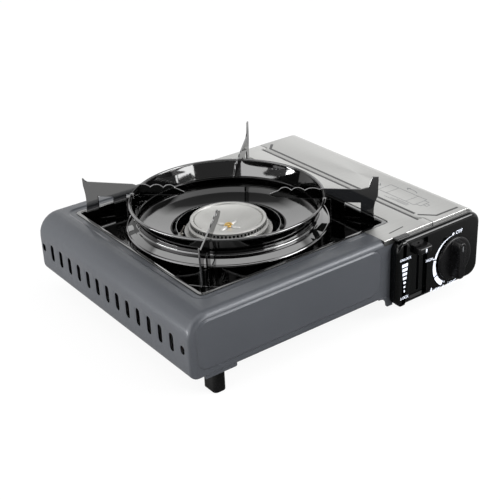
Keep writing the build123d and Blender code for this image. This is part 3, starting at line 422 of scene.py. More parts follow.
def plastic(name, first, second, rough=(0.2, 0.3), grain=700.0, relief=0.05, specular=0.5):
    """Moulded plastic with a fine spark-eroded grain."""
    made = Finish(name, Roughness=sum(rough) / 2, Specular_IOR_Level=specular)
    made.set("Base Color", made.blend(made.reach(made.noise(25, 3), 0.0, 1.0), first, second))
    made.set("Roughness", made.reach(made.noise(grain / 6, 3), *rough))
    made.set("Normal", made.bump(made.noise(grain, 2), relief, 0.06))
    return made.material


def galvanised():
    """Zinc-coated sheet with a soft spangle."""
    made = Finish("galvanised", Metallic=1.0, Roughness=0.42)
    cells = made.add("ShaderNodeTexVoronoi", {"Vector": made.place, "Scale": 90.0})
    spangle = made.reach(cells.outputs["Color"], 0.0, 1.0, 0.2, 0.8)
    made.set("Base Color", made.blend(spangle, tone(158, 160, 162), tone(170, 172, 174)))
    made.set("Roughness", made.reach(spangle, 0.42, 0.48, 0.0, 1.0))
    made.set("Normal", made.bump(made.noise(500, 2), 0.06, 0.04))
    return made.material


def printed(name, first, second):
    """Screen-printed ink with slightly uneven cover."""
    made = Finish(name, Roughness=0.4)
    made.set("Base Color", made.blend(made.reach(made.noise(300, 3), 0.0, 1.0), first, second))
    made.set("Normal", made.bump(made.noise(1800, 1), 0.05, 0.02))
    return made.material


paint = grey_paint()
bright = brushed_steel()
enamel = black_enamel()
alloy = burner_alloy()
zinc = galvanised()
cast_zinc = metal("cast_zinc", tone(150, 150, 148), tone(172, 172, 170), (0.35, 0.5))
brass = metal("brass", tone(196, 160, 92), tone(214, 180, 112), (0.22, 0.34))
copper = metal("copper", tone(186, 116, 84), tone(206, 138, 104), (0.25, 0.4))
steel_rod = metal("steel_rod", tone(170), tone(196), (0.2, 0.34))
glossy_plastic = plastic("glossy_plastic", tone(8, 9, 9), tone(11, 12, 12), (0.08, 0.13), 300, 0.03, 0.3)
satin_plastic = plastic("satin_plastic", tone(15, 15, 15), tone(20, 20, 21), (0.24, 0.34), 900, 0.10, 0.32)
foot_plastic = plastic("foot_plastic", tone(9, 9, 9), tone(13, 13, 13), (0.18, 0.28), 700, 0.08, 0.3)
# near-black finish for the flame ports: painted shade standing in for the dark inside of open ports
port_shade = plastic("port_shade", tone(6), tone(10), (0.7, 0.9), 900, 0.1, 0.1)
ceramic = plastic("ceramic", tone(122, 118, 112), tone(138, 134, 126), (0.15, 0.3), 400, 0.04)
lead_rubber = plastic("lead_rubber", tone(150, 40, 34), tone(170, 50, 42), (0.4, 0.5), 800, 0.06)
white_ink = printed("white_ink", tone(205, 212, 226), tone(222, 226, 236))
black_ink = printed("black_ink", tone(7), tone(12))
grey_ink = printed("grey_ink", tone(78, 80, 82), tone(92, 94, 96))
# steel painted darker than it is: painted shade of the gap at the lid's hinge
hinge_gap_shade_steel = metal("hinge_gap_shade_steel", tone(92), tone(108), (0.4, 0.55))

# ---------------------------------------------------------------- camera, light and floor


def product_camera():
    """Long lens from the front left, a little above the pan supports."""
    azimuth, elevation, roll = radians(-35.74), radians(26.96), radians(-2.45)
    back = Vector((sin(azimuth) * cos(elevation), -cos(azimuth) * cos(elevation), sin(elevation)))
    level_right = (-back).cross(Vector((0, 0, 1))).normalized()
    level_up = level_right.cross(-back)
    across = cos(roll) * level_right + sin(roll) * level_up
    up = cos(roll) * level_up - sin(roll) * level_right
    lens = bpy.data.cameras.new("view")
    lens.lens = 75.24
    lens.sensor_width = 36
    lens.clip_start = 0.05
    made = shown("view", lens)
    rotation = Matrix((across, up, back)).transposed()
    made.matrix_world = Matrix.Translation((-0.5608, -0.7603, 0.5260)) @ rotation.to_4x4()
    bpy.context.scene.camera = made


def softbox(name, azimuth, elevation, distance, width, height, power):
    """Rectangular lamp that faces the stove. Azimuth 0 is the front, 90 the right side."""
    turn, lift = radians(azimuth), radians(elevation)
    away = Vector((sin(turn) * cos(lift), -cos(turn) * cos(lift), sin(lift)))
    lamp = bpy.data.lights.new(name, "AREA")
    lamp.shape = "RECTANGLE"
    lamp.size, lamp.size_y = width, height
    lamp.energy = power
    made = shown(name, lamp)
    facing = away.to_track_quat("Z", "Y").to_matrix().to_4x4()
    made.matrix_world = Matrix.Translation(away * distance) @ facing


def studio_light():
    softbox("left_softbox", -90, 14, 1.9, 2.6, 1.3, 32)
    softbox("side_softbox", -112, 3, 1.7, 0.9, 0.25, 12)
    softbox("front_softbox", 40, 28, 2.2, 1.15, 0.85, 38)
    softbox("low_softbox", 18, 13, 2.0, 0.9, 0.7, 12)


def surroundings():
    """Light tent: a pale wall behind the stove, a bright strip overhead, and darker elsewhere."""
    world = bpy.data.worlds.new("studio")
    bpy.context.scene.world = world
    world.use_nodes = True
    nodes, links = world.node_tree.nodes, world.node_tree.links
    direction = nodes.new("ShaderNodeTexCoord").outputs["Generated"]

    def along(axis):
        node = nodes.new("ShaderNodeVectorMath")
        node.operation = "DOT_PRODUCT"
        links.new(direction, node.inputs[0])
        node.inputs[1].default_value = axis
        return node.outputs["Value"]

    def grey_ramp(socket, stops):
        """Grey against a value from -1 to 1."""
        shift = nodes.new("ShaderNodeMapRange")
        links.new(socket, shift.inputs[0])
        shift.inputs[1].default_value = -1.0
        node = nodes.new("ShaderNodeValToRGB")
        links.new(shift.outputs[0], node.inputs[0])
        elements = node.color_ramp.elements
        while len(elements) < len(stops):
            elements.new(0.5)
        for element, (position, value) in zip(elements, stops):
            element.position = (position + 1) / 2
            element.color = (value, value, value, 1)
        return node.outputs[0]

    def joined(operation, first, second):
        node = nodes.new("ShaderNodeMath")
        node.operation = operation
        links.new(first, node.inputs[0])
        links.new(second, node.inputs[1])
        return node.outputs[0]

    height = along((0, 0, 1))
    away = along((0.584, 0.812, 0.0))
    wall = joined(
        "MULTIPLY",
        grey_ramp(height, ((-1.0, 0.45), (0.0, 0.45), (0.2, 0.52), (0.56, 0.52), (0.68, 0.05), (1.0, 0.02))),
        grey_ramp(away, ((-1.0, 0.1), (-0.1, 0.1), (0.25, 0.75), (0.45, 1.0), (1.0, 1.0))),
    )
    strip = joined(
        "MULTIPLY",
        grey_ramp(height, ((-1.0, 0.0), (0.36, 0.0), (0.5, 0.78), (1.0, 0.78))),
        grey_ramp(away, ((-1.0, 0.0), (-0.5, 0.0), (-0.42, 1.0), (0.22, 1.0), (0.32, 0.0))),
    )
    links.new(joined("MAXIMUM", wall, strip), nodes["Background"].inputs["Color"])
    nodes["Background"].inputs["Strength"].default_value = 3.0


def floor():
    """White sweep: seen and mirrored as near white, with the stove's soft shadow on it."""
    bm = start()
    bmesh.ops.create_grid(bm, x_segments=1, y_segments=1, size=30.0)
    mesh = bpy.data.meshes.new("floor")
    bm.to_mesh(mesh)
    bm.free()
    made = shown("floor", mesh)
    white = Finish("white_sweep", Base_Color=tone(235), Roughness=0.9, Specular_IOR_Level=0.0)
    rays = white.add("ShaderNodeLightPath").outputs
    camera_ray, glossy_ray = rays["Is Camera Ray"], rays["Is Glossy Ray"]
    # in reflections the sweep's glow is painted down close to the stove, a painted shadow, and painted up on
    # the left side, a painted pool of light
    away = white.add("ShaderNodeVectorMath", {0: white.place}, operation="LENGTH").outputs["Value"]
    aside = white.add("ShaderNodeSeparateXYZ", {0: white.place}).outputs["X"]
    clear = white.reach(away, 0.05, 1.0, 0.26, 0.7)
    lit_side = white.reach(aside, 0.05, 1.0, -0.13, -0.24)
    mirrored = white.math("MULTIPLY", glossy_ray, white.math("MAXIMUM", clear, lit_side))
    strength = white.math("MAXIMUM", camera_ray, mirrored)
    glow = white.add("ShaderNodeEmission", {"Color": (1, 1, 1, 1), "Strength": strength})
    seen = white.math("MAXIMUM", camera_ray, glossy_ray)
    any_ray = white.math("MAXIMUM", seen, rays["Is Transmission Ray"])
    share = white.math("MULTIPLY", any_ray, 0.9)
    mix = white.add("ShaderNodeMixShader", {0: share, 1: white.shader.outputs[0], 2: glow.outputs[0]})
    white.links.new(mix.outputs[0], white.nodes["Material Output"].inputs["Surface"])
    made.data.materials.append(white.material)


product_camera()
studio_light()
surroundings()
floor()
bpy.context.scene.view_settings.view_transform = "Standard"

# ---------------------------------------------------------------- CAD nodes that show as they are

CORNERS = ("front_left", "front_right", "rear_left", "rear_right")
CAD_FINISH = {
    zinc: (
        "bottom_plate", "bay_partition", "cartridge_cradle", "seat_plate", "burner_bracket", "jet_bracket",
        "electrode_clip", "lever_slider", "pusher_link", "pusher_plate", "lead_clips",
    ),
    cast_zinc: ("regulator_body", "regulator_cap", "valve_spindle"),
    brass: ("gas_jet", "pipe_nut"),
    copper: ("gas_pipe",),
    steel_rod: ("hinge_pins", "burner_bolts", "panel_screws", "foot_screws"),
    alloy: ("burner_base", "mixing_tube", "burner_head", "burner_screw"),
    ceramic: ("spark_electrode",),
    lead_rubber: ("ignition_lead",),
    glossy_plastic: ("control_panel",),
    satin_plastic: ("control_knob", "lock_lever", "piezo_igniter"),
    foot_plastic: ["foot_" + corner for corner in CORNERS],
    enamel: ["drip_tray", "windshield_ring"] + ["pan_support_" + corner for corner in CORNERS],
    paint: ("body_shell",),
    bright: ("centre_plate", "cartridge_lid"),
}
for material, names in CAD_FINISH.items():
    for name in names:
        node = frame["nodes"][name]
        node.data.materials.clear()
        node.data.materials.append(material)
        for face in node.data.polygons:
            face.material_index = 0

# ---------------------------------------------------------------- pressed skin: shell, centre plate and lid

FRONT_DROP = 7.0  # rounding of the front edge of the deck
FRONT_SIDE = 2.6  # and of the upright edges of the front face
REAR_ROUND = 5.0
TOP_LEFT, TOP_RIGHT, BASE_LEFT, BASE_RIGHT, BAY_STEP = 22.0, 14.0, 9.0, 10.0, 4.0
LID_SKIRT = 6.0
PLATE_DROP = 0.9  # rounding of the front edge of the plate and the lid
SHELL_SPLIT = top - LID_SKIRT
BODY_STEPS = 7
bay_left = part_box("bay_partition")[0][0] / MM - 10.5
tray_gap = 0.6


def quarter(reach, depth):
    """How far a quarter-round edge still stands back at a depth behind its face."""
    if depth >= reach:
        return 0.0
    return reach - sqrt(reach**2 - (reach - depth) ** 2)


def body_section(bm, y, side_inset, top_inset):
    """Outline of the body across the stove at y, with the cartridge bay hanging on the right."""
    points = (
        (left + side_inset, base + side_inset),
        (bay_left + side_inset, base + side_inset),
        (bay_left + side_inset, low + side_inset),
        (right - side_inset, low + side_inset),
        (right - side_inset, top - top_inset),
        (left + side_inset, top - top_inset),
    )
    pull = (side_inset + top_inset) / 2
    radii = (
        max(BASE_LEFT - side_inset, 1.0),
        BAY_STEP + side_inset,
        max(BAY_STEP - side_inset, 0.5),
        max(BASE_RIGHT - side_inset, 1.0),
        max(TOP_RIGHT - pull, 1.0),
        max(TOP_LEFT - pull, 1.0),
    )
    return outline(bm, points, radii, BODY_STEPS, upright(y))


def tray_outline(bm, grow, z):
    """Rounded rectangle around the drip tray, grown on every side."""
    corners = (tray_low.x - grow, tray_high.x + grow, tray_low.y - grow, tray_high.y + grow)
    return box_outline(bm, *corners, max(4.0 + grow, 1.0), BODY_STEPS, level(z))


def pressed_body(bead):
    """Whole skin of the body, open over the drip tray; the painted sheet has a soft bead there."""
    bm = start()
    drop, fall = (FRONT_DROP, REAR_ROUND) if bead else (PLATE_DROP, PLATE_DROP)
    front_steps = [drop * (k / 8) ** 1.6 for k in range(9)]
    rear_steps = [fall * (k / 5) ** 1.6 for k in range(6)]
    sections = [
        body_section(bm, front + depth, quarter(FRONT_SIDE, depth), quarter(drop, depth))
        for depth in front_steps
    ]
    sections += [
        body_section(bm, rear - depth, quarter(fall, depth), quarter(fall, depth))
        for depth in reversed(rear_steps)
    ]
    stack(bm, sections, cap_first=True, cap_last=True)
    bmesh.ops.recalc_face_normals(bm, faces=bm.faces)
    deck = top_face(bm, Vector((0, 0, 1)))
    if bead:
        # a soft step down, 5 to 8 mm outside the tray
        profile = ((8.0, 0.0), (7.3, 0.1), (6.6, 0.4), (5.9, 0.75), (5.2, 0.95), (4.4, 1.0))
    else:
        profile = ()
    profile += ((tray_gap + 0.5, 1.0 if bead else 0.0), (tray_gap + 0.1, 1.2 if bead else 0.25))
    profile += ((tray_gap, 1.5), (-3.4, 1.5), (-3.4, 2.5))
    rim = [tray_outline(bm, grow, top - drop) for grow, drop in profile]
    edges = list(deck.edges) + list(rim[0].edges)
    bmesh.ops.delete(bm, geom=[deck], context="FACES_ONLY")
    stack(bm, rim)
    fill_between(bm, edges)
    return bm


def lay_holes(bm, flat, holes):
    """Cuts a row of hole outlines out of a flat face, one strip of the face for each hole."""
    middles = [hole.calc_center_median().y for hole in holes]
    strips = [flat]
    for near, far in zip(middles, middles[1:]):
        whole = strips.pop()
        geometry = [whole, *whole.edges, *whole.verts]
        spot = (0, (near + far) / 2, 0)
        cut = bmesh.ops.bisect_plane(bm, geom=geometry, plane_co=spot, plane_no=(0, 1, 0))["geom"]
        parts = [item for item in cut if isinstance(item, bmesh.types.BMFace)]
        strips += sorted(parts, key=lambda face: face.calc_center_median().y)
    for strip, hole in zip(strips, holes):
        edges = list(strip.edges) + open_up(bm, hole)
        bmesh.ops.delete(bm, geom=[strip], context="FACES_ONLY")
        fill_between(bm, edges)


def body_shell():
    """Painted shell with the front pressing, the side vents and an open underside."""
    bm = pressed_body(bead=True)
    # vents in the left side
    count, pitch, width, height, end_height = 15, 18.3, 6.6, 18.0, 8.6
    side = top_face(bm, Vector((-1, 0, 0)))
    vents = []
    for row in range(count):
        tall = end_height if row in (0, count - 1) else height
        y = (front + rear) / 2 + (row - (count - 1) / 2) * pitch
        y = max(y, front + FRONT_DROP + 0.3 + width / 2)  # clear of the rounded front edge
        z = base + 28.3
        half = width / 2
        place = sideways(left)
        vents.append(box_outline(bm, y - half, y + half, z - tall / 2, z + tall / 2, half * 0.98, 5, place))
    lay_holes(bm, side, vents)
    # pressing in the front face: a soft slope up to a flat panel
    face = next(f for f in bm.faces if f.normal.y < -0.99 and f.calc_area() > 5000)
    slope = ((0.0, 0.0), (0.25, 0.05), (0.5, 0.2), (1.5, 1.15), (1.8, 1.27), (2.2, 1.3))
    pressing = [
        box_outline(
            bm,
            left + 7.0 + inset,
            left + 218.0 - inset,
            base + 7.0 + inset,
            base + 56.0 - inset,
            12.0 - inset * 0.9,
            BODY_STEPS,
            upright(front - rise),
        )
        for inset, rise in slope
    ]
    edges = list(face.edges) + list(pressing[0].edges)
    bmesh.ops.delete(bm, geom=[face], context="FACES_ONLY")
    stack(bm, pressing, cap_last=True)
    fill_between(bm, edges)
    # what belongs to the centre plate and the lid, and the open underside
    lid_edge = right - 5.4
    lid_foot = base + 21.6
    for axis, place in ((0, plate_left), (2, SHELL_SPLIT), (0, lid_left), (0, lid_edge), (2, lid_foot)):
        score(bm, axis, place)
    opening = (left + 19, right - 20, front + 10, rear - 10)
    for axis, place in ((0, opening[0]), (0, opening[1]), (1, opening[2]), (1, opening[3])):
        score(bm, axis, place)

    def not_shell(middle):
        if middle.x > plate_left and middle.z > SHELL_SPLIT:
            return True
        if middle.x > lid_edge and middle.z > lid_foot:
            return True
        within = opening[0] < middle.x < opening[1] and opening[2] < middle.y < opening[3]
        return within and middle.z < base + 0.5

    drop_faces(bm, not_shell)
    piece("shell", bm, paint, "base", ("body_shell",), wall=0.6)
    # painted corner that joins the bottom edge to the deeper bay under the panel
    bm = start()
    points = ((44, 26), (62, 26), (62, low + 0.3), (54, low + 0.3), (54, base), (44, base))
    corner = outline(bm, points, (0.2, 0.2, 0.2, 2.0, 8.6, 0.2), 6, upright(front))
    extruded(bm, corner, Vector((0, 2.0, 0)))
    piece("shell_corner", bm, paint, "base", soft_edge=0.4)
    # short apron over the front left foot
    bm = start()
    apron = box_outline(bm, left + 15, left + 49, base - 3.2, base + 1.5, 1.4, 4, upright(front + 1.0))
    extruded(bm, apron, Vector((0, 1.2, 0)))
    piece("shell_apron", bm, paint, "base", soft_edge=0.3)


def centre_plate():
    """Bright plate between the painted deck and the lid."""
    bm = pressed_body(bead=False)
    reach = 7.0
    depth = 12.6
    hinge_edge = lid_left - 0.8
    for axis, place in (
        (0, plate_left),
        (2, SHELL_SPLIT),
        (0, hinge_edge),
        (0, lid_left + reach),
        (1, front + depth),
        (1, rear - depth),
    ):
        score(bm, axis, place)

    def not_plate(middle):
        if middle.x < plate_left or middle.z < SHELL_SPLIT or middle.x > lid_left + reach:
            return True
        return middle.x > hinge_edge and front + depth < middle.y < rear - depth

    drop_faces(bm, not_plate)
    piece("deck_plate", bm, bright, "base", ("centre_plate",), wall=sheet)


def cartridge_lid():
    """Hinged lid over the cartridge bay: flat top, rounded down the right side, curled at the hinge."""
    bm = pressed_body(bead=False)
    reach = 8.0
    depth = 13.6
    side_foot = base + 22.0
    side_edge = right - 5.0
    for axis, place in (
        (0, hinge.x),
        (2, SHELL_SPLIT),
        (0, lid_left + reach),
        (0, side_edge),
        (1, front + depth),
        (1, rear - depth),
        (2, side_foot),
    ):
        score(bm, axis, place)

    def not_lid(middle):
        if middle.x < hinge.x or middle.z < side_foot:
            return True
        if middle.z < SHELL_SPLIT and middle.x < side_edge:
            return True
        return middle.x < lid_left + reach and not front + depth < middle.y < rear - depth

    drop_faces(bm, not_lid)
    piece("lid_skin", bm, bright, "lid", ("cartridge_lid",), wall=sheet)
    # rolled hinge edge, in steel painted dark: painted shade of the gap between the centre plate and the lid
    bm = start()
    radius = 2.2
    place = upright(front + depth)
    points = [(hinge.x + radius * cos(a), hinge.z + radius * sin(a)) for a in
              [radians(90 + k * 270 / 14) for k in range(15)]]
    edges = wire(bm, points, 0.0, 1, place)[1]
    made = bmesh.ops.extrude_edge_only(bm, edges=edges)["geom"]
    moved = [item for item in made if isinstance(item, bmesh.types.BMVert)]
    bmesh.ops.translate(bm, vec=(0, rear - front - 2 * depth, 0), verts=moved)
    piece("lid_curl", bm, hinge_gap_shade_steel, "lid", wall=0.8)


def stroke(bm, points, width, z):
    """Thin flat strip on the deck along (x, y) points, given from the left and the front of the body: print,
    or painted shade along a crease.
    """
    path = [Vector((left + x, front + y)) for x, y in points]
    near_side, far_side = [], []
    for here, spot in enumerate(path):
        steps = [b - a for a, b in ((path[here - 1], spot), (spot, path[min(here + 1, len(path) - 1)]))]
        steps = [step.normalized() for step in (steps[1:] if here == 0 else steps) if step.length > 0]
        along = sum(steps, Vector((0, 0))).normalized()
        across = Vector((-along.y, along.x)) * width / 2 / max(along.dot(steps[0]), 0.5)
        near_side.append(spot - across)
        far_side.append(spot + across)
    face = outline(bm, near_side + far_side[::-1], 0.0, 3, level(z))
    extruded(bm, face, Vector((0, 0, -0.3)))


def deck_print_and_crease_shade():
    """Black line along the hinge side of the lid, a small drawing of a cartridge being laid in, and a dark
    line on the centre plate that is painted shade of a pressed crease.
    """
    bm = start()
    z = top + 0.05
    stroke(bm, ((297, 267), (287, 257), (286, 25)), 3.1, z)
    stroke(bm, ((286.4, 21.5), (299, 8), (328, 7.7)), 2.6, z)
    piece("lid_line", bm, black_ink, "lid")
    bm = start()
    # cartridge body, collar and nozzle, seen from above
    stroke(bm, ((300, 40), (318, 40), (318, 92), (300, 92), (300, 40)), 0.6, z)
    stroke(bm, ((303, 40), (303, 34), (315, 34), (315, 40)), 0.6, z)
    stroke(bm, ((307, 34), (307, 29), (311, 29), (311, 34)), 0.6, z)
    stroke(bm, ((300, 52), (318, 52)), 0.5, z)
    stroke(bm, ((300, 80), (318, 80)), 0.5, z)
    # arrow that turns it into place
    stroke(bm, ((322, 58), (324.5, 62), (325, 68), (324, 73)), 0.7, z)
    stroke(bm, ((321.6, 70.5), (323.8, 74), (326.4, 71)), 0.7, z)
    # arrow towards the front
    stroke(bm, ((309, 112), (309, 98)), 0.7, z)
    stroke(bm, ((305.5, 102.5), (309, 97.5), (312.5, 102.5)), 0.7, z)
    for row in range(3):
        stroke(bm, ((293.5 + 1.8 * row, 44), (293.5 + 1.8 * row, 76 - 7 * row)), 0.5, z)
    piece("lid_drawing", bm, grey_ink, "lid")
    bm = start()
    # dark line on the centre plate: painted shade along a pressed crease
    stroke(bm, ((236.6, 9.1), (246, 10.1), (256.8, 11.3)), 1.4, z)
    piece("plate_crease_shade", bm, black_ink, "base")


body_shell()
centre_plate()
cartridge_lid()
deck_print_and_crease_shade()

# ---------------------------------------------------------------- drip tray, ring and burner

axis_at = (burner.x, burner.y)
neck_radius = ring_high.x - burner.x - 6.9  # narrowest part of the windshield ring
platform_radius = neck_radius + 10.5
platform_z = base + 60.5
tray_floor_z = tray_low.z + 1.0
hole_radius = 52.0
ENAMEL = 0.9  # enamelled sheet


def around(points, angle=0.0):
    """Points given as (radius, aside, height) about the burner, turned to an angle in degrees."""
    turn = Matrix.Translation((burner.x, burner.y, 0)) @ Matrix.Rotation(radians(angle), 4, "Z")
    return [turn @ Vector(point) for point in points]


def drip_tray():
    """Enamelled tray: flat rim, tapered wall, floor, and a raised platform with the burner bowl."""
    bm = start()
    rim_z = tray_high.z
    # (grown outwards, height) down the wall
    profile = (
        (0.0, rim_z - 0.9),
        (0.0, rim_z - 0.3),
        (-0.4, rim_z),
        (-3.0, rim_z - 0.01),
        (-3.7, rim_z - 0.25),
        (-4.3, rim_z - 1.1),
        (-5.6, tray_floor_z + 2.2),
        (-6.1, tray_floor_z + 0.7),
        (-7.4, tray_floor_z),
    )
    walls = []
    for grow, z in profile:
        corners = (tray_low.x - grow, tray_high.x + grow, tray_low.y - grow, tray_high.y + grow)
        walls.append(box_outline(bm, *corners, max(4.5 + grow * 0.3, 2.4), 6, level(z)))
    rings = stack(bm, walls)
    foot = platform_radius + 1.6
    circle = disc_outline(bm, axis_at, foot, CIRCLE, level(tray_floor_z))
    fill_between(bm, rings[-1] + open_up(bm, circle))
    turned(
        bm,
        (
            (foot, tray_floor_z),
            (platform_radius + 0.6, tray_floor_z),
            (platform_radius + 0.3, platform_z),
            (neck_radius - 0.6, platform_z - 0.2),
            (neck_radius - 26.0, platform_z - 7.2),
            (hole_radius + 5.0, platform_z - 8.4),
            (hole_radius + 2.2, platform_z - 6.6),
            (hole_radius, platform_z - 5.2),
            (hole_radius - 0.6, platform_z - 5.6),
        ),
        axis_at,
        (0.7, 2.4, 2.4, 5.0, 1.6, 1.4, 0.4),
        segments=6,
    )
    piece("tray", bm, enamel, "pan_support", ("drip_tray",), sharp=50, wall=ENAMEL)


def windshield_ring():
    """Pressed ring on the platform: outward foot, flared wall and rolled rim."""
    bm = start()
    foot_z = platform_z + 0.9
    rim_z = ring_high.z - 1.4
    rim = neck_radius + 5.5
    turned(
        bm,
        (
            (neck_radius + 10.4, foot_z - 3.0),
            (neck_radius + 10.1, foot_z - 2.2),
            (neck_radius + 3.6, foot_z + 3.3),
            (neck_radius - 0.7, foot_z + 4.3),
            (rim - 1.1, rim_z - 0.9),
            (rim - 0.9, rim_z),
        ),
        axis_at,
        (0.8, 1.2, 2.4, 1.5),
        segments=6,
    )
    piece("ring_wall", bm, enamel, "pan_support", ("windshield_ring",), sharp=50, wall=ENAMEL)
    bm = start()
    place = Matrix.Translation((burner.x, burner.y, 0)) @ FACING_FRONT
    bead = bmesh.ops.create_circle(
        bm, cap_ends=False, radius=1.4, segments=14, matrix=place @ Matrix.Translation((rim, rim_z, 0))
    )["verts"]
    spun(bm, bead + list({edge for vert in bead for edge in vert.link_edges}), (*axis_at, 0))
    piece("ring_rim", bm, enamel, "pan_support")


DISH = 9.2  # depth of the dish below the rim


def burner_head():
    """Stamped burner head: dish in a broad rim, flame ports in the wall painted near black as the shade
    inside them, and a lower flange.
    """
    bm = start()
    rim = 38.4
    rim_top = head_high.z
    port_wall, port_top, port_foot = 38.1, rim_top - 2.3, rim_top - 4.9
    turned(
        bm,
        (
            (0.0, rim_top - DISH),
            (8.0, rim_top - DISH - 0.1),
            (24.0, rim_top - DISH + 1.6),
            (33.5, rim_top - 1.3),
            (34.3, rim_top - 2.4),
            (35.2, rim_top - 0.1),
            (rim, rim_top),
            (port_wall, port_top),
        ),
        axis_at,
        (2.0, 18.0, 0.4, 0.3, 0.5, 1.2),
        segments=8,
    )
    turned(
        bm,
        (
            (port_wall, port_foot),
            (port_wall + 0.1, port_foot - 0.9),
            (40.3, port_foot - 1.5),
            (40.6, port_foot - 3.6),
            (38.0, port_foot - 5.0),
        ),
        axis_at,
        (0.5, 0.5, 0.5),
    )
    # the wall with its ports: every second bay of a fine ring is pressed inwards and painted near black, a
    # painted shade for the open port
    ports = 62
    wall = [bm.verts.new(spot) for spot in around(((port_wall, 0, port_foot), (port_wall, 0, port_top)))]
    first = set(bm.faces)
    spun(bm, wall + [bm.edges.new(wall)], (*axis_at, 0), steps=2 * ports)
    bays = [face for face in bm.faces if face not in first]
    centre = Vector((burner.x, burner.y, 0))

    def bay_number(face):
        middle = face.calc_center_median() - centre
        return round((atan2(middle.y, middle.x) % (2 * pi)) / (pi / ports) - 0.5)

    holes = [face for face in bays if bay_number(face) % 2]
    pressed = bmesh.ops.extrude_discrete_faces(bm, faces=holes)["faces"]
    for face in pressed:
        middle = face.calc_center_median() - centre
        inwards = Vector((-middle.x, -middle.y, 0)).normalized() * 1.2
        bmesh.ops.translate(bm, vec=inwards, verts=face.verts)
        for side in {face} | {near for edge in face.edges for near in edge.link_faces}:
            side.material_index = 1
    skin = piece("head_skin", bm, alloy, "base", ("burner_head",), sharp=40)
    skin.data.materials.append(port_shade)


def burner_screw():
    """Screw in the middle of the dish with four pressed petals around it."""
    bm = start()
    foot_z = head_high.z - DISH - 0.1
    for angle in (20, 110, 200, 290):
        petal = bmesh.ops.create_icosphere(bm, subdivisions=3, radius=1.0)["verts"]
        bmesh.ops.scale(bm, vec=(6.0, 3.0, 2.4), verts=petal)
        spot = around(((8.4, 0, foot_z + 0.1),), angle)[0]
        turn = Matrix.Translation(spot) @ Matrix.Rotation(radians(angle), 4, "Z")
        bmesh.ops.transform(bm, matrix=turn, verts=petal)
    low_part = [face for face in bm.faces if face.calc_center_median().z < foot_z - 0.3]
    bmesh.ops.delete(bm, geom=low_part, context="FACES")
    piece("dish_petals", bm, alloy, "base", recalc=False)
    bm = start()
    turned(
        bm,
        (
            (0.0, foot_z + 3.4),
            (2.2, foot_z + 3.3),
            (3.5, foot_z + 2.4),
            (3.6, foot_z + 0.9),
            (4.6, foot_z + 0.8),
            (4.8, foot_z + 0.2),
        ),
        axis_at,
        (1.6, 0.8, 0.3, 0.2),
        steps=SMALL_CIRCLE,
    )
    piece("dish_screw", bm, brass, "base", ("burner_screw",))


# ---------------------------------------------------------------- pan supports

def pan_support(node):
    """Pressed pan support: the merged mesh of its CAD node, with softened edges."""
    merged = bmesh.new()
    merged.from_mesh(frame["nodes"][node].data)
    bmesh.ops.scale(merged, vec=(1 / MM,) * 3, verts=merged.verts)
    bmesh.ops.remove_doubles(merged, verts=merged.verts, dist=0.002)
    bmesh.ops.dissolve_limit(
        merged,
        angle_limit=radians(1.0),
        use_dissolve_boundaries=False,
        verts=merged.verts,
        edges=merged.edges,
    )
    piece(node + "_press", merged, enamel, "pan_support", (node,), sharp=28, soft_edge=0.45,
          recalc=False)


drip_tray()
windshield_ring()
burner_head()
burner_screw()
for corner in ("front_right", "rear_right", "front_left", "rear_left"):
    pan_support("pan_support_" + corner)

# ---------------------------------------------------------------- control panel, lever and knob

face_y = panel_low.y + 2.0  # panel face; the raised block at its left stands 2 mm ahead of it
block_y = panel_low.y
panel_left = panel_low.x
block_right = panel_left + 18.5
channel = (block_right + 1.0, block_right + 23.0, base - 7.0, base + 54.0)
slot_half = 1.55


def rounded_front(bm, corners, radius, y_back, y_front, edge):
    """Plate standing on an upright plane, with a quarter-round front edge."""
    u0, u1, v0, v1 = corners
    depths = [edge * (k / 6) ** 1.5 for k in range(7)]
    faces = [box_outline(bm, u0, u1, v0, v1, radius, 8, upright(y_back))]
    for depth in reversed(depths):
        inset = quarter(edge, depth)
        sides = (u0 + inset, u1 - inset, v0 + inset, v1 - inset)
        faces.append(box_outline(bm, *sides, radius - inset, 8, upright(y_front + depth)))
    stack(bm, faces, cap_last=True)


def control_panel():
    """Glossy panel: rounded face with a channel for the lever, and a raised block beside it."""
    bm = start()
    corners = (panel_left + 1.0, panel_high.x, panel_low.z, panel_high.z)
    rounded_front(bm, corners, 13.0, front - 0.2, face_y, 4.2)
    face = min((f for f in bm.faces if f.normal.y < -0.99 or f.normal.y > 0.99), key=lambda f: -f.calc_area())
    u0, u1, v0, v1 = channel
    rims = [
        box_outline(bm, u0 - grow, u1 + grow, v0 - grow, v1 + grow, 1.2 + grow, 4, upright(face_y + depth))
        for grow, depth in ((0.5, 0.0), (0.15, 0.12), (0.0, 0.5), (0.0, 3.0))
    ]
    edges = list(face.edges) + list(rims[0].edges)
    bmesh.ops.delete(bm, geom=[face], context="FACES_ONLY")
    mouth = lever_mid.x
    sides = (mouth - slot_half, mouth + slot_half, base - 2.0, base + 50.0)
    slot = box_outline(bm, *sides, 1.4, 4, upright(face_y + 3.0))
    rings = stack(bm, rims)
    fill_between(bm, edges)
    inner = box_outline(bm, *sides, 1.4, 4, upright(face_y + 5.0))
    slot_edges = open_up(bm, slot)
    fill_between(bm, rings[-1] + slot_edges)
    bmesh.ops.bridge_loops(bm, edges=slot_edges + open_up(bm, inner))
    piece("panel_face", bm, glossy_plastic, "base", ("control_panel",), sharp=45)
    bm = start()
    rounded_front(bm, (panel_left, block_right, panel_low.z, panel_high.z), 11.5, front - 0.2, block_y, 3.4)
    piece("panel_block", bm, glossy_plastic, "base", sharp=45)
    # cover lip clipped over the front edge of the centre plate
    bm = start()
    block(bm, panel_left + 2.5, block_right + 2.0, front - 6.5, front + 1.0, top - 2.6, top - 0.1, 1.0)
    piece("panel_clip", bm, satin_plastic, "base")


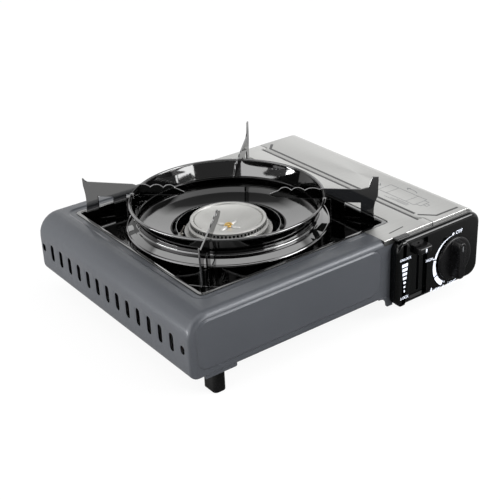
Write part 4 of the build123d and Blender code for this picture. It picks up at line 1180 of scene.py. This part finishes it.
def lock_lever():
    """Sliding lever: chamfered finger pad on a stem."""
    bm = start()
    x0, x1 = lever_mid.x - 9.0, lever_mid.x + 9.0
    z0, z1 = lever_low.z, lever_high.z
    faces = []
    for y, grow in (
        (face_y + 2.9, 0.0),
        (face_y + 0.2, 0.0),
        (lever_low.y + 2.4, -0.35),
        (lever_low.y + 0.9, -0.8),
        (lever_low.y + 0.2, -1.5),
        (lever_low.y, -2.3),
    ):
        faces.append(box_outline(bm, x0 - grow, x1 + grow, z0 - grow, z1 + grow, 1.4, 4, upright(y)))
    stack(bm, faces, cap_first=True, cap_last=True)
    z = (z0 + z1) / 2
    block(bm, lever_mid.x - 1.45, lever_mid.x + 1.45, face_y + 2.5, lever_high.y, z - 3.0, z + 3.0, 0.2)
    piece("lever_pad", bm, satin_plastic, "lever", ("lock_lever",), sharp=40)
    bm = start()
    y = lever_low.y
    block(bm, lever_mid.x - 0.9, lever_mid.x + 0.9, y - 0.06, y + 0.4, z0 + 2.1, z1 - 2.1, 0.05)
    piece("lever_mark", bm, white_ink, "lever")


def control_knob():
    """Disc with a rounded rim and a waisted finger grip across it."""
    radius = (knob_high.x - knob_low.x) / 2
    disc_back = face_y - 0.4
    disc_front = disc_back - 2.2
    bm = start()
    profile = (
        (0.0, disc_front - 0.2),
        (radius - 2.6, disc_front - 0.2),
        (radius - 1.6, disc_front - 0.05),
        (radius - 0.5, disc_front + 0.35),
        (radius, disc_front + 1.1),
        (radius, disc_back),
        (radius - 2.0, disc_back),
    )
    place = Matrix.Translation((dial.x, 0, dial.z))
    verts = [bm.verts.new(place @ Vector((r, y, 0))) for r, y in profile]
    edges = [bm.edges.new(pair) for pair in zip(verts, verts[1:])]
    spun(bm, verts + edges, (dial.x, 0, dial.z), axis=(0, 1, 0), steps=72)
    piece("knob_disc", bm, knob_plastic, "knob", ("control_knob",), sharp=60)
    # grip: waisted outline drawn in towards its top, with rounded ends
    bm = start()
    faces = []
    for y, wide, tall in (
        (disc_front + 0.2, 6.9, 21.0),
        (disc_front - 1.2, 6.2, 20.6),
        (disc_front - 6.0, 5.6, 20.0),
        (knob_low.y + 1.2, 5.3, 19.6),
        (knob_low.y + 0.35, 4.9, 19.1),
        (knob_low.y + 0.05, 4.1, 18.3),
    ):
        points = []
        for side in (1, -1):
            for height, inwards in ((-0.86, 0.6), (-0.5, 0.2), (0.0, 1.0), (0.5, 0.2), (0.86, 0.6)):
                points.append((dial.x + side * (wide - inwards), dial.z + side * height * tall))
            points.append((dial.x + side * wide * 0.45, dial.z + side * tall))
            points.append((dial.x - side * wide * 0.45, dial.z + side * tall))
        faces.append(outline(bm, points, 1.6, 3, upright(y)))
    stack(bm, faces, cap_last=True)
    piece("knob_grip", bm, knob_plastic, "knob", sharp=50)
    # pale grey stripe on the grip: painted highlight of an embossed pointer
    bm = start()
    block(bm, dial.x - 0.6, dial.x + 0.6, knob_low.y, knob_low.y + 0.4, dial.z + 10.5, dial.z + 16.5, 0.1)
    piece("knob_pointer_highlight", bm, grey_ink, "knob")


# ---------------------------------------------------------------- printing on the panel

PRINT = 0.07  # ink stands this far off the surface


def lettering(name, words, size, centre, y, slant):
    """Printed word on an upright surface that faces the front."""
    curve = bpy.data.curves.new(name + "_text", "FONT")
    curve.body = words
    curve.size = size
    curve.align_x = "CENTER"
    curve.align_y = "CENTER"
    curve.shear = slant
    curve.extrude = PRINT / 2
    curve.offset = 0.06
    maker = shown(name + "_maker", curve)
    bpy.context.view_layer.update()
    mesh = bpy.data.meshes.new_from_object(maker)
    bpy.data.objects.remove(maker)
    bm = bmesh.new()
    bm.from_mesh(mesh)
    place = upright(y - PRINT / 2) @ Matrix.Translation((*centre, 0))
    bmesh.ops.transform(bm, matrix=place, verts=bm.verts)
    piece(name, bm, white_ink, "base", recalc=False)


def ink_patch(bm, points, y):
    """Flat printed shape, drawn as (x, z) points on the panel."""
    face = outline(bm, points, 0.0, 3, upright(y - PRINT))
    extruded(bm, face, Vector((0, PRINT, 0)))


def flame(bm, x, z, tall, y):
    """Small drop-shaped flame sign."""
    points = (
        (x, z + tall * 0.6),
        (x + tall * 0.20, z + tall * 0.18),
        (x + tall * 0.32, z - tall * 0.12),
        (x + tall * 0.20, z - tall * 0.4),
        (x - tall * 0.20, z - tall * 0.4),
        (x - tall * 0.32, z - tall * 0.12),
        (x - tall * 0.10, z + tall * 0.12),
    )
    ink_patch(bm, points, y)


def band(bm, first, last, inner, outer, y):
    """Printed arc about the knob: inner and outer radius given as functions of the share of the way."""
    places = []
    for k in range(25):
        share = k / 24
        angle = radians(first + (last - first) * share)
        places.append((angle, inner(share), outer(share)))
    points = [(dial.x + r * cos(a), dial.z + r * sin(a)) for a, r, _ in places]
    points += [(dial.x + r * cos(a), dial.z + r * sin(a)) for a, _, r in reversed(places)]
    ink_patch(bm, points, y)


def panel_print():
    """Scale round the knob, shrinking bars beside the lever, and plain words."""
    bm = start()
    near = 25.2
    # thin at OFF, widening to HIGH at the left, then a wide end after a break
    band(bm, 97, 166, lambda s: near, lambda s: near + 0.35 + 2.5 * s, face_y)
    band(bm, 169, 206, lambda s: near, lambda s: near + 3.0 + 1.6 * s, face_y)
    band(bm, 209, 238, lambda s: near + 0.2, lambda s: near + 4.7 + 0.4 * s, face_y)
    dot = (dial.x - 2.1, dial.z + near + 1.3)
    turns = [radians(angle) for angle in range(0, 360, 30)]
    ink_patch(bm, [(dot[0] + 1.5 * cos(a), dot[1] + 1.5 * sin(a)) for a in turns], face_y)
    ink_patch(
        bm,
        ((dial.x - near - 2.4, dial.z + 6.6), (dial.x - near - 5.4, dial.z + 7.9),
         (dial.x - near - 5.4, dial.z + 8.8), (dial.x - near - 2.2, dial.z + 7.6)),
        face_y,
    )
    flame(bm, dial.x - near - 4.6, dial.z - 25.6, 4.4, face_y)
    flame(bm, dial.x - 13.2, dial.z - 27.6, 3.8, face_y)
    flame(bm, dial.x - 11.9, dial.z - 22.8, 2.4, face_y)
    piece("dial_scale", bm, white_ink, "base")
    lettering("word_off", "OFF", 5.2, (dial.x + 5.6, dial.z + 26.6), face_y, 0.2)
    lettering("word_high", "HIGH", 3.9, (dial.x - near - 9.2, dial.z + 8.6), face_y, 0.2)
    lettering("word_low", "LOW", 4.0, (dial.x - 22.4, dial.z - 27.8), face_y, 0.2)
    lettering("word_light", "LIGHT", 4.2, (dial.x - 1.4, dial.z - 27.2), face_y, 0.2)
    # bars that shrink from UNLOCK to LOCK
    bm = start()
    x = block_right - 8.6
    bars = ((7.6, 3.4), (6.6, 3.1), (5.7, 2.9), (4.7, 2.7), (3.1, 2.3), (2.2, 2.0), (1.3, 2.6))
    for row, (wide, tall) in enumerate(bars):
        z = base + 34.2 - 4.65 * row
        half, high = wide / 2, tall / 2
        corners = ((x - half, z - high), (x + half, z - high), (x + half, z + high), (x - half, z + high))
        ink_patch(bm, corners, block_y)
    piece("lock_bars", bm, white_ink, "base")
    lettering("word_unlock", "UNLOCK", 3.5, (block_right - 8.2, base + 40.7), block_y, 0.15)
    lettering("word_lock", "LOCK", 4.0, (block_right - 8.4, base - 0.9), block_y, 0.15)


knob_plastic = plastic("knob_plastic", tone(14, 14, 15), tone(19, 19, 20), (0.24, 0.32), 900, 0.10, 0.24)
control_panel()
lock_lever()
control_knob()
panel_print()
